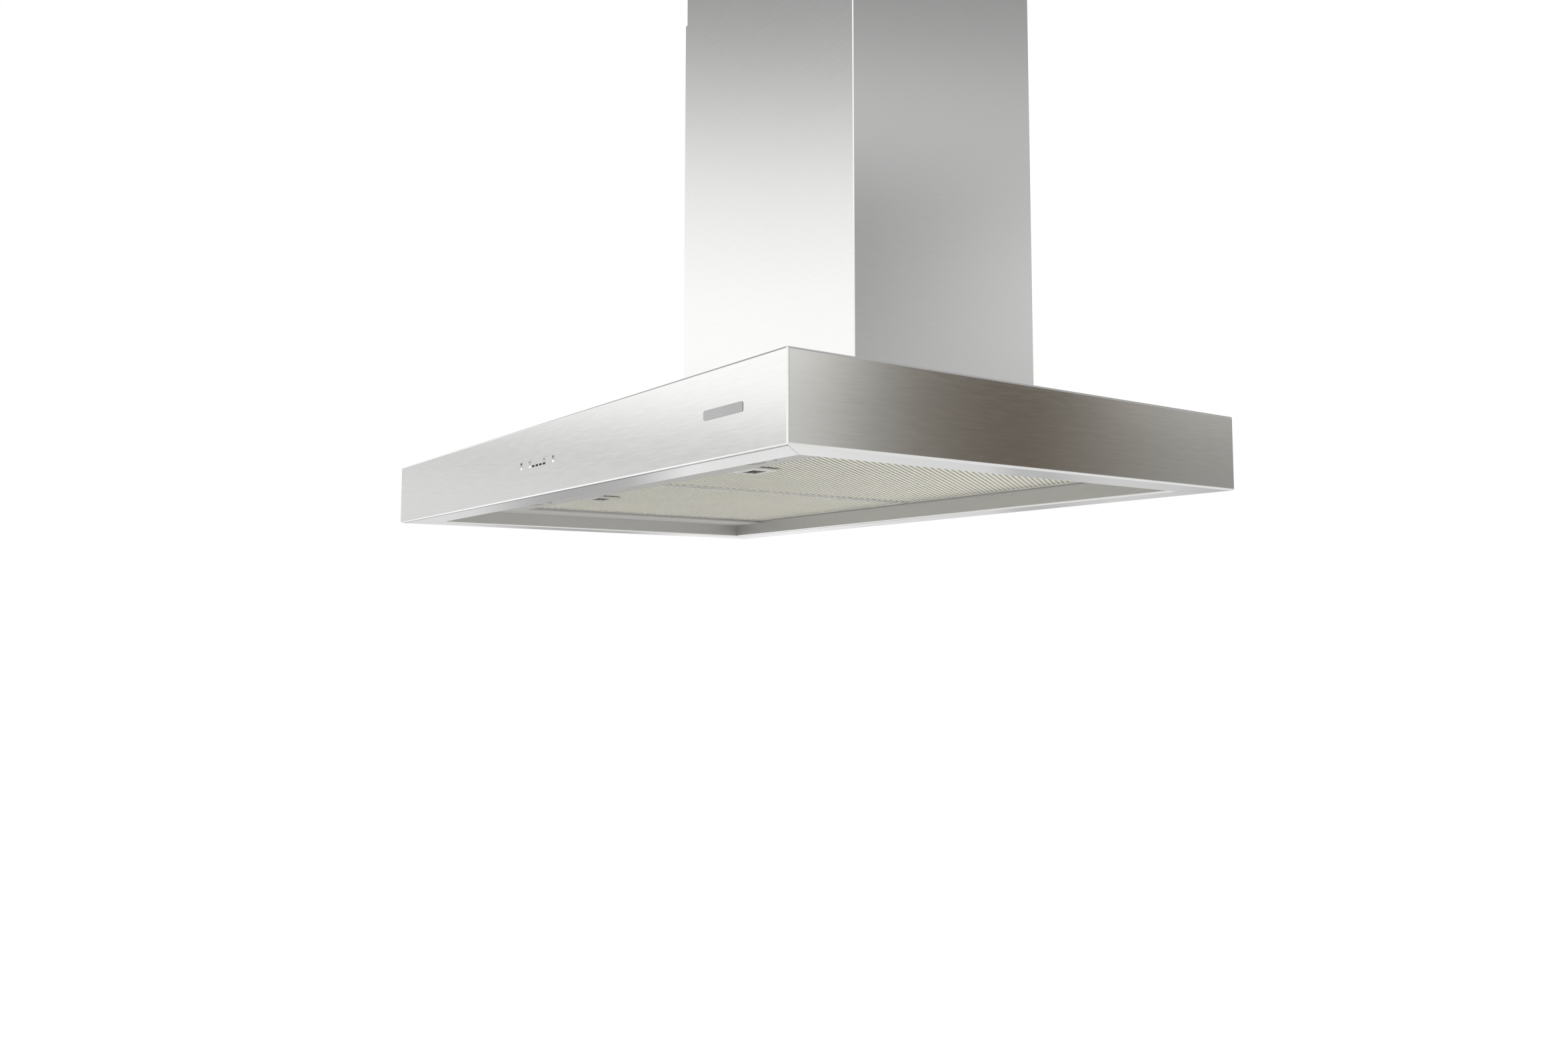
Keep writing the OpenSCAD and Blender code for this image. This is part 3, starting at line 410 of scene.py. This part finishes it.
def in_recess(tree, coords):
    """Mask of the recess's painted shade and duller finish: 1 low in the recess, on the rims' inner
    returns and whatever stands between them; 0 elsewhere.
    """
    place = add(tree, "SeparateXYZ", {0: coords})
    side_x = canopy_hi.x - RIM_WIDTH
    front_y, back_y = canopy_lo.y + RIM_WIDTH, canopy_hi.y - RIM_WIDTH
    lip = RETURN_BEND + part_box("canopy_wrap")[0].z
    sides = spread(tree, maths(tree, "ABSOLUTE", place.outputs[0]), side_x, side_x + RECESS_FADE, 1, 0)
    front = spread(tree, place.outputs[1], front_y - RECESS_FADE, front_y)
    back = spread(tree, place.outputs[1], back_y, back_y + RECESS_FADE, 1, 0)
    above = spread(tree, place.outputs[2], lip - RECESS_FADE, lip)
    below = maths(tree, "LESS_THAN", place.outputs[2], lip + RETURN_HEIGHT)
    inside = maths(tree, "MULTIPLY", maths(tree, "MULTIPLY", sides, front), back)
    return maths(tree, "MULTIPLY", maths(tree, "MULTIPLY", inside, above), below)


def brushed(name, light, dark, roughness, flat_along_x, relief=0.05):
    """Sheet with a fine brushed grain: hair-thin scratches over wider, softer ones, and painted shade
    low in the recess.
    """
    material, tree, shader, coords = new_material(name)
    hair, soft = (
        noise(tree, grain_coords(tree, coords, *grain, flat_along_x), 1.0)
        for grain in (HAIR_GRAIN, SOFT_GRAIN))
    smudge = noise(tree, coords, 5.0, 3.0)
    streak = maths(tree, "ADD", maths(tree, "MULTIPLY", hair, 0.5), maths(tree, "MULTIPLY", soft, 0.5))
    recess = in_recess(tree, coords)
    polished = mix_colour(tree, spread(tree, streak, *NARROW), (*dark, 1), (*light, 1))
    # Low in the recess the base colour turns to the darker steel: painted shade
    feed(tree, shader.inputs["Base Color"], mix_colour(tree, recess, polished, RECESS_SHADE_STEEL))
    shader.inputs["Metallic"].default_value = 1.0
    satin = maths(tree, "ADD",
        spread(tree, streak, *NARROW, roughness - 0.02, roughness + 0.02),
        spread(tree, smudge, *WIDE, -0.01, 0.015))
    feed(tree, shader.inputs["Roughness"], maths(tree, "ADD", satin,
        maths(tree, "MULTIPLY", recess, WALL_DULLING)))
    bump(tree, shader, streak, relief, GRAIN_HEIGHT)
    return material


def plastic(name, colour, roughness, pebble=900, relief=0.15):
    """Moulded plastic or paint with a fine pebble and faint clouds."""
    material, tree, shader, coords = new_material(name)
    grit = noise(tree, coords, pebble)
    cloud = noise(tree, coords, 12.0)
    lifted = tuple(min(1.0, c * 1.12 + 0.01) for c in colour)
    feed(tree, shader.inputs["Base Color"],
        mix_colour(tree, spread(tree, cloud, *NARROW), (*colour, 1), (*lifted, 1)))
    feed(tree, shader.inputs["Roughness"],
        spread(tree, grit, *WIDE, roughness - 0.05, roughness + 0.07))
    bump(tree, shader, grit, relief, GRIT_HEIGHT)
    return material


def bare_metal(name, colour, roughness, scale=300, relief=0.1, tarnish=0.14):
    """Metal with a fine grit; tarnish is how much its duller clouds lose."""
    material, tree, shader, coords = new_material(name)
    grit = noise(tree, coords, scale, 3.0)
    cloud = noise(tree, coords, 20.0, 3.0)
    dull = tuple(c * (1 - tarnish) for c in colour)
    feed(tree, shader.inputs["Base Color"],
        mix_colour(tree, spread(tree, cloud, *NARROW), (*dull, 1), (*colour, 1)))
    shader.inputs["Metallic"].default_value = 1.0
    feed(tree, shader.inputs["Roughness"],
        spread(tree, grit, *WIDE, roughness - 0.05, roughness + 0.08))
    bump(tree, shader, grit, relief, GRIT_HEIGHT)
    return material


def galvanised_sheet():
    """Zinc coated sheet: flat crystals of slightly different greys."""
    material, tree, shader, coords = new_material("galvanised")
    drift = add(tree, "TexNoise", {"Vector": coords, "Scale": 90.0}).outputs["Color"]
    wander = stretch(tree, drift, ZINC_WANDER, ZINC_WANDER, ZINC_WANDER)
    bent = add(tree, "VectorMath", {0: coords, 1: wander}, operation="ADD").outputs[0]
    cells = add(tree, "TexVoronoi", {"Vector": bent, "Scale": 70.0})
    pick = add(tree, "SeparateXYZ", {0: cells.outputs["Color"]}).outputs[0]
    feed(tree, shader.inputs["Base Color"],
        mix_colour(tree, pick, (0.50, 0.52, 0.54, 1), (0.68, 0.70, 0.71, 1)))
    shader.inputs["Metallic"].default_value = 0.9
    feed(tree, shader.inputs["Roughness"], spread(tree, pick, 0, 1, 0.34, 0.5))
    return material


def circuit_green():
    """Solder resist with copper tracks showing through."""
    material, tree, shader, coords = new_material("circuit_green")
    turned = add(tree, "Mapping", {"Vector": coords, "Rotation": (math.radians(90), 0, 0)})
    tracks = add(tree, "TexBrick", {
        "Vector": turned.outputs[0], "Scale": 180.0, "Mortar Size": 0.04,
        "Color1": (0.02, 0.16, 0.06, 1), "Color2": (0.03, 0.19, 0.08, 1),
        "Mortar": (0.06, 0.30, 0.12, 1)})
    feed(tree, shader.inputs["Base Color"], tracks.outputs["Color"])
    shader.inputs["Roughness"].default_value = 0.35
    bump(tree, shader, tracks.outputs["Fac"], 0.3, GRIT_HEIGHT)
    return material


def lit_guide():
    """Light guide that glows faintly."""
    material, tree, shader, coords = new_material("lit_guide")
    haze = noise(tree, coords, 400)
    feed(tree, shader.inputs["Base Color"],
        mix_colour(tree, haze, (0.92, 0.93, 0.94, 1), (0.98, 0.98, 0.98, 1)))
    shader.inputs["Roughness"].default_value = 0.3
    shader.inputs["Emission Color"].default_value = (1, 1, 1, 1)
    shader.inputs["Emission Strength"].default_value = 0.12
    return material


def smoked_guide():
    """Light guide that is off."""
    material, tree, shader, coords = new_material("smoked_guide")
    haze = noise(tree, coords, 300)
    feed(tree, shader.inputs["Base Color"],
        mix_colour(tree, haze, (0.006, 0.006, 0.007, 1), (0.016, 0.016, 0.017, 1)))
    feed(tree, shader.inputs["Roughness"], spread(tree, haze, *WIDE, 0.45, 0.6))
    shader.inputs["Specular IOR Level"].default_value = 0.12
    return material


def frosted_lens():
    """Pale lens with a frosted face."""
    material, tree, shader, coords = new_material("frosted_lens")
    frost = noise(tree, coords, 700)
    feed(tree, shader.inputs["Base Color"],
        mix_colour(tree, frost, (0.86, 0.87, 0.86, 1), (0.95, 0.95, 0.94, 1)))
    shader.inputs["Roughness"].default_value = 0.42
    shader.inputs["Transmission Weight"].default_value = 0.25
    shader.inputs["IOR"].default_value = 1.5
    bump(tree, shader, frost, 0.2, 2 * GRIT_HEIGHT)
    return material


def mesh_layers():
    """The stacked sheets behind the front one: crossing strands with painted shade, darker than the
    front sheet, and darker still in the holes between them.
    """
    material, tree, shader, coords = new_material("mesh_layers")
    parts = add(tree, "SeparateXYZ", {0: coords})
    across = maths(tree, "MULTIPLY", parts.outputs[0], math.pi / MESH_X)
    along = maths(tree, "MULTIPLY", parts.outputs[1], math.pi / MESH_Y)
    one = maths(tree, "ABSOLUTE", maths(tree, "SINE", maths(tree, "ADD", across, along)))
    two = maths(tree, "ABSOLUTE", maths(tree, "SINE", maths(tree, "SUBTRACT", across, along)))
    strand = maths(tree, "MINIMUM", one, two)
    # Lighter along the strands, painted shade in the holes between them
    feed(tree, shader.inputs["Base Color"], mix_colour(
        tree, spread(tree, strand, 0.1, 0.7), (0.66, 0.645, 0.57, 1), (0.44, 0.43, 0.375, 1)))
    shader.inputs["Metallic"].default_value = 0.7
    shader.inputs["Roughness"].default_value = 0.55
    bump(tree, shader, strand, 0.6, 6 * GRIT_HEIGHT)
    return material


def to_object(name, shape, material):
    """Puts a finished bmesh into the scene as an object."""
    mesh = bpy.data.meshes.new(name)
    shape.to_mesh(mesh)
    shape.free()
    mesh.materials.append(material)
    made = bpy.data.objects.new(name, mesh)
    bpy.context.scene.collection.objects.link(made)
    return made


# ---------- expanded filter mesh ----------

# How far a strand's two sides stand above and below the sheet, and the sheet's thickness
MESH_RISE = 0.06 * MM
MESH_SHEET = 0.22 * MM
# Share of a diamond that its hole takes, along the rows of thick strands and across them
HOLE_LONG, HOLE_WIDE = 0.86, 0.50
# Width of the latch case that stands through the mesh
LATCH_BODY = 32 * MM


def close_border(shape):
    """Joins the two layers of a sheet wherever their border edges lie one above the other."""
    above = {}
    for edge in [e for e in shape.edges if len(e.link_faces) == 1]:
        a, b = edge.verts
        above.setdefault((round(a.co.x + b.co.x, 7), round(a.co.y + b.co.y, 7)), []).append(edge)
    for pair in above.values():
        if len(pair) == 2:
            first, second = sorted(pair, key=lambda edge: edge.verts[0].co.z)
            a, b = first.verts
            c = min(second.verts, key=lambda vert: (vert.co.xy - b.co.xy).length)
            shape.faces.new((a, b, c, second.other_vert(c)))


def diamond_sheet(name, lo, hi, keep_out, material):
    """Expanded sheet over a rectangle: diamonds in staggered rows, each strand tilted one way.
    keep_out holds the sides in X and the far edge in Y of a gap for the latch."""
    shape = bmesh.new()
    cols = int((hi.x - lo.x) / MESH_X)
    rows = int((hi.y - lo.y) / MESH_Y)
    pitch_x = (hi.x - lo.x) / cols
    pitch_y = (hi.y - lo.y) / rows
    low = lo.z + MESH_RISE
    # A hole's corner lies this share of the way to the diamond's corner, and this share sideways
    mean, skew = (HOLE_LONG + HOLE_WIDE) / 2, (HOLE_WIDE - HOLE_LONG) / 2
    around = ((1, 0), (0, 1), (-1, 0), (0, -1))
    known = {}

    def corner(i, j, top):
        """Shared corner on the half-pitch grid."""
        key = (i, j, top)
        if key not in known:
            known[key] = shape.verts.new((
                lo.x + i * pitch_x / 2, lo.y + j * pitch_y / 2, low + MESH_SHEET * top))
        return known[key]

    def fill_edge(i, j):
        """Half diamond with no hole, along the sheet's edge."""
        inward = 1 if i == 0 or j == 0 else -1
        points = (((i, j - 1), (i + inward, j), (i, j + 1)) if i in (0, 2 * cols)
            else ((i - 1, j), (i, j + inward), (i + 1, j)))
        for top in (0, 1):
            shape.faces.new([corner(*point, top) for point in points])

    def open_diamond(i, j):
        """Four strands around a hole; i and j are the diamond's middle on the half-pitch grid."""
        x, y = lo.x + i * pitch_x / 2, lo.y + j * pitch_y / 2
        layers = []
        for top in (0, 1):
            outer = [corner(i + a, j + b, top) for a, b in around]
            inner = [shape.verts.new((
                x + (a * mean + b * skew) * pitch_x / 2, y + (b * mean + a * skew) * pitch_y / 2,
                low + MESH_SHEET * top - a * MESH_RISE)) for a, b in around]
            layers.append((outer, inner))
        (low_out, low_in), (top_out, top_in) = layers
        for k in range(4):
            n = (k + 1) % 4
            shape.faces.new((low_out[n], low_out[k], low_in[k], low_in[n]))
            shape.faces.new((top_out[k], top_out[n], top_in[n], top_in[k]))
            shape.faces.new((low_in[n], low_in[k], top_in[k], top_in[n]))

    for i in range(2 * cols + 1):
        for j in range(2 * rows + 1):
            if (i + j) % 2 == 0:
                continue
            beside_latch = keep_out[0] < lo.x + i * pitch_x / 2 < keep_out[1]
            if i in (0, 2 * cols) or j in (0, 2 * rows):
                if not (beside_latch and j == 0):
                    fill_edge(i, j)
            elif not (beside_latch and lo.y + j * pitch_y / 2 < keep_out[2]):
                open_diamond(i, j)
    close_border(shape)
    bmesh.ops.recalc_face_normals(shape, faces=shape.faces)
    return to_object(name, shape, material)


def make_filter_meshes(material):
    """An expanded sheet in place of each filter's plain face."""
    for side in ("left", "right"):
        lo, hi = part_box(f"filter_{side}_face")
        plate_lo, plate_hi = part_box(f"latch_{side}_case")
        middle = (plate_lo.x + plate_hi.x) / 2
        keep_out = (middle - LATCH_BODY / 2, middle + LATCH_BODY / 2, plate_hi.y)
        sheet = diamond_sheet(f"filter_{side}_mesh", lo, hi, keep_out, material)
        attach(sheet, f"filter_{side}")
        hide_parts(f"filter_{side}_face")


# ---------- finishes ----------

def dress():
    """One material for each CAD node."""
    wrap_steel = brushed("wrap_steel", (0.785, 0.785, 0.78), (0.735, 0.735, 0.725), 0.11, False)
    panel_steel = brushed("panel_steel", (0.785, 0.785, 0.78), (0.735, 0.735, 0.725), 0.11, True)
    liner_steel = brushed("liner_steel", (0.65, 0.65, 0.64), (0.61, 0.61, 0.60), 0.20, True)
    cover_steel = brushed("cover_steel", (0.77, 0.77, 0.765), (0.75, 0.75, 0.742), 0.11, True, 0.015)
    finishes = {
        "badge_grey": plastic("badge_grey", (0.39, 0.395, 0.39), 0.4),
        "lit_window": lit_guide(),
        "dark_window": smoked_guide(),
        "black_plastic": plastic("moulded_black", (0.035, 0.035, 0.037), 0.45),
        "circuit_board": circuit_green(),
        "lamp_glass": frosted_lens(),
        "cast_aluminium": bare_metal("cast_aluminium", (0.72, 0.72, 0.72), 0.5, 700, 0.3),
        "white_plastic": plastic("moulded_white", (0.80, 0.80, 0.78), 0.4),
        "filter_aluminium": bare_metal("filter_aluminium", (0.80, 0.79, 0.75), 0.38),
        "mesh_aluminium": mesh_layers(),
        "spring_steel": bare_metal("spring_steel", (0.62, 0.62, 0.62), 0.22),
        "galvanised": galvanised_sheet(),
        "shaft_steel": bare_metal("shaft_steel", (0.66, 0.66, 0.67), 0.15),
        "motor_paint": plastic("motor_enamel", (0.30, 0.31, 0.33), 0.35, 500),
        "damper_plastic": plastic("damper_grey", (0.10, 0.105, 0.11), 0.5),
        "screw_steel": bare_metal("screw_steel", (0.68, 0.68, 0.67), 0.25),
        "satin_liner": liner_steel,
    }
    # Nodes whose stainless sheet is not panel_steel
    own_steel = {
        "canopy_wrap": wrap_steel,
        "lower_duct_cover": cover_steel,
        "upper_duct_cover": cover_steel,
    }
    for part in frame["record"]["subparts"]:
        node = part["node"]
        slot = part["material_slot"]
        if slot == "brushed_stainless":
            material = own_steel.get(node, panel_steel)
        else:
            material = finishes[slot]
        mesh = frame["nodes"][node].data
        mesh.materials.clear()
        mesh.materials.append(material)


# ---------- key marks ----------

# How deep a mark reaches into its key, and how far it stands out of it
MARK_SINK = 0.03 * MM
MARK_RISE = 0.05 * MM

# The marks' outlines are in millimetres about the middle of each key
ROUND_SIDES = 20
BULB_RADIUS, BULB_STRETCH, BULB_LIFT = 1.6, 1.5, 0.5
HUB_RADIUS = 0.5
BLADES = 3
BLADE_ROOT, BLADE_TIP = 0.6, 2.1
# Radians that a blade takes of the circle, and that its sides lean; steps along each side
BLADE_TURN, BLADE_SWEEP, BLADE_STEPS = 1.6, 0.25, 6
FAN_STRETCH = 1.6


def disc(r, stretch_x=1.0, lift=0.0):
    turns = [2 * math.pi * k / ROUND_SIDES for k in range(ROUND_SIDES)]
    return [(stretch_x * r * math.cos(a), r * math.sin(a) + lift) for a in turns]


def fan_blade(turn):
    """One swept blade of the fan mark."""
    shares = [k / BLADE_STEPS for k in range(BLADE_STEPS + 1)]
    reach = BLADE_TIP - BLADE_ROOT
    front = [(BLADE_ROOT + reach * t, turn + BLADE_SWEEP * t) for t in shares]
    back = [(BLADE_TIP - reach * t, turn + BLADE_TURN - BLADE_SWEEP * t) for t in shares]
    return [(FAN_STRETCH * r * math.cos(a), r * math.sin(a)) for r, a in front + back]


def bar(x0, x1, z0, z1):
    return [(x0, z0), (x1, z0), (x1, z1), (x0, z1)]


ARROW_DOWN = [(-3.1, 1.5), (-1.9, 1.5), (0, -0.25), (1.9, 1.5), (3.1, 1.5), (0, -1.6)]
# A bulb with two rays, two arrows, and a fan
MARKS = {
    "lights": [
        disc(BULB_RADIUS, BULB_STRETCH, BULB_LIFT),
        bar(-1.0, 1.0, -1.45, -1.1), bar(-0.7, 0.7, -2.0, -1.65),
        bar(-3.0, -1.9, 0.3, 0.8), bar(1.9, 3.0, 0.3, 0.8)],
    "slower": [ARROW_DOWN],
    "faster": [[(x, -z) for x, z in reversed(ARROW_DOWN)]],
    "fan": [disc(HUB_RADIUS)] + [fan_blade(2 * math.pi * k / BLADES) for k in range(BLADES)],
}


def make_marks(material):
    """Thin raised marks on the keys' front faces."""
    for key, outlines in MARKS.items():
        lo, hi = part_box(f"key_{key}")
        x, z = (lo.x + hi.x) / 2, (lo.z + hi.z) / 2
        shape = bmesh.new()
        for outline in outlines:
            front, back = (
                [shape.verts.new((x + u * MM, lo.y + depth, z + v * MM)) for u, v in outline]
                for depth in (-MARK_RISE, MARK_SINK))
            shape.faces.new(front)
            shape.faces.new(list(reversed(back)))
            for k in range(len(outline)):
                n = (k + 1) % len(outline)
                shape.faces.new((front[k], back[k], back[n], front[n]))
        bmesh.ops.recalc_face_normals(shape, faces=shape.faces)
        mark = to_object(f"key_{key}_mark", shape, material)
        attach(mark, f"key_{key}")


# ---------- screws ----------

SCREW_SIDES = 24
# Height of every screw's head and radius of its shank
SCREW_HEAD = 2 * MM
SCREW_SHAFT = 2 * MM
THREAD_PITCH = 0.7 * MM
THREAD_DEPTH = 0.3 * MM
# Radius of the shank's tip, in shank radii
SCREW_TIP = 0.3
# Share of the head's height that is upright, and share of its radius that the crown takes
HEAD_WALL = 0.35
SCREW_CROWN = 0.35
CROWN_STEPS = 5
# The cross recess: arm and half width in head radii, depth in head heights, share of its mouth's
# size that its floor keeps
CROSS_ARM = 0.5
CROSS_WIDTH = 0.15
CROSS_DEPTH = 0.55
CROSS_FLOOR = 0.6


def solids(node):
    """Lowest and highest corners of each separate solid of a CAD node."""
    shape = bmesh.new()
    shape.from_mesh(frame["nodes"][node].data)
    bmesh.ops.remove_doubles(shape, verts=shape.verts, dist=1e-6)
    left = set(shape.verts)
    boxes = []
    while left:
        group, frontier = set(), [left.pop()]
        while frontier:
            vert = frontier.pop()
            group.add(vert)
            for link in vert.link_edges:
                other = link.other_vert(vert)
                if other in left:
                    left.remove(other)
                    frontier.append(other)
        points = [v.co for v in group]
        boxes.append((Vector([min(p[i] for p in points) for i in range(3)]),
            Vector([max(p[i] for p in points) for i in range(3)])))
    shape.free()
    return boxes


def add_screw(shape, place, head_r, head_h, shaft_r, shaft_l):
    """Pan head with a cross recess over a threaded shank, along +Z of place."""
    turns = [2 * math.pi * k / SCREW_SIDES for k in range(SCREW_SIDES)]

    def ring(r, z):
        return [shape.verts.new(place @ Vector((r * math.cos(a), r * math.sin(a), z))) for a in turns]

    rings = [
        ring(SCREW_TIP * shaft_r, -shaft_l),
        ring(shaft_r - THREAD_DEPTH, -shaft_l + THREAD_DEPTH)]
    z = -shaft_l + 2 * THREAD_PITCH
    while z < -THREAD_PITCH:
        rings += [ring(shaft_r, z), ring(shaft_r - THREAD_DEPTH, z + THREAD_PITCH / 2)]
        z += THREAD_PITCH
    rings += [ring(shaft_r - THREAD_DEPTH, 0), ring(head_r, 0), ring(head_r, HEAD_WALL * head_h)]
    for k in range(1, CROWN_STEPS):
        turn = math.radians(90 * k / CROWN_STEPS)
        rings.append(ring(head_r - SCREW_CROWN * head_r * (1 - math.cos(turn)),
            head_h * (HEAD_WALL + (1 - HEAD_WALL) * math.sin(turn))))
    rings.append(ring(head_r * (1 - SCREW_CROWN), head_h))
    for low, high in zip(rings, rings[1:]):
        for k in range(SCREW_SIDES):
            n = (k + 1) % SCREW_SIDES
            shape.faces.new((low[k], low[n], high[n], high[k]))
    shape.faces.new(list(reversed(rings[0])))
    arm, half = CROSS_ARM * head_r, CROSS_WIDTH * head_r
    corner = [(arm, -half), (arm, half), (half, half)]
    plan = []
    for k in range(4):
        c, s = round(math.cos(math.pi * k / 2)), round(math.sin(math.pi * k / 2))
        plan += [(c * x - s * y, s * x + c * y) for x, y in corner]
    mouth = [shape.verts.new(place @ Vector((x, y, head_h))) for x, y in plan]
    foot = [
        shape.verts.new(place @ Vector((CROSS_FLOOR * x, CROSS_FLOOR * y, head_h * (1 - CROSS_DEPTH))))
        for x, y in plan]
    count = len(plan)
    top = rings[-1]
    edges = [shape.edges.new((mouth[k], mouth[(k + 1) % count])) for k in range(count)]
    edges += [shape.edges.get((top[k], top[(k + 1) % SCREW_SIDES])) for k in range(SCREW_SIDES)]
    bmesh.ops.triangle_fill(shape, use_beauty=True, edges=edges)
    for k in range(count):
        n = (k + 1) % count
        shape.faces.new((mouth[n], mouth[k], foot[k], foot[n]))
    shape.faces.new(foot)


# The groups of screws: the body that each rides, and whether its screws lie along X
SCREW_GROUPS = (
    ("canopy_screws", "hood", False),
    ("blower_screws", "hood", False),
    ("upper_cover_screws", "upper_cover", True),
)


def make_screws(material):
    """A threaded screw with a cross recess in place of each plain one, of the same size."""
    for node, body, sideways in SCREW_GROUPS:
        shape = bmesh.new()
        for lo, hi in solids(node):
            middle = (lo + hi) / 2
            if sideways:
                side = 1 if middle.x > 0 else -1
                head_r = (hi.z - lo.z) / 2
                head = Vector(((hi.x if side > 0 else lo.x) - side * SCREW_HEAD, middle.y, middle.z))
                place = Matrix.Translation(head) @ Matrix.Rotation(side * math.pi / 2, 4, "Y")
                length = hi.x - lo.x
            else:
                head_r = (hi.x - lo.x) / 2
                place = Matrix.Translation((middle.x, middle.y, hi.z - SCREW_HEAD))
                length = hi.z - lo.z
            add_screw(shape, place, head_r, SCREW_HEAD, SCREW_SHAFT, length - SCREW_HEAD)
        bmesh.ops.recalc_face_normals(shape, faces=shape.faces)
        made = to_object(f"{node}_cross", shape, material)
        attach(made, body)
        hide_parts(node)


make_filter_meshes(bare_metal("expanded_aluminium", (0.80, 0.785, 0.70), 0.46, 500, 0.05, 0.03))
make_marks(plastic("mark_ink", (0.10, 0.10, 0.105), 0.5, relief=0.05))
make_screws(bare_metal("zinc_screw", (0.68, 0.68, 0.67), 0.25))
dress()
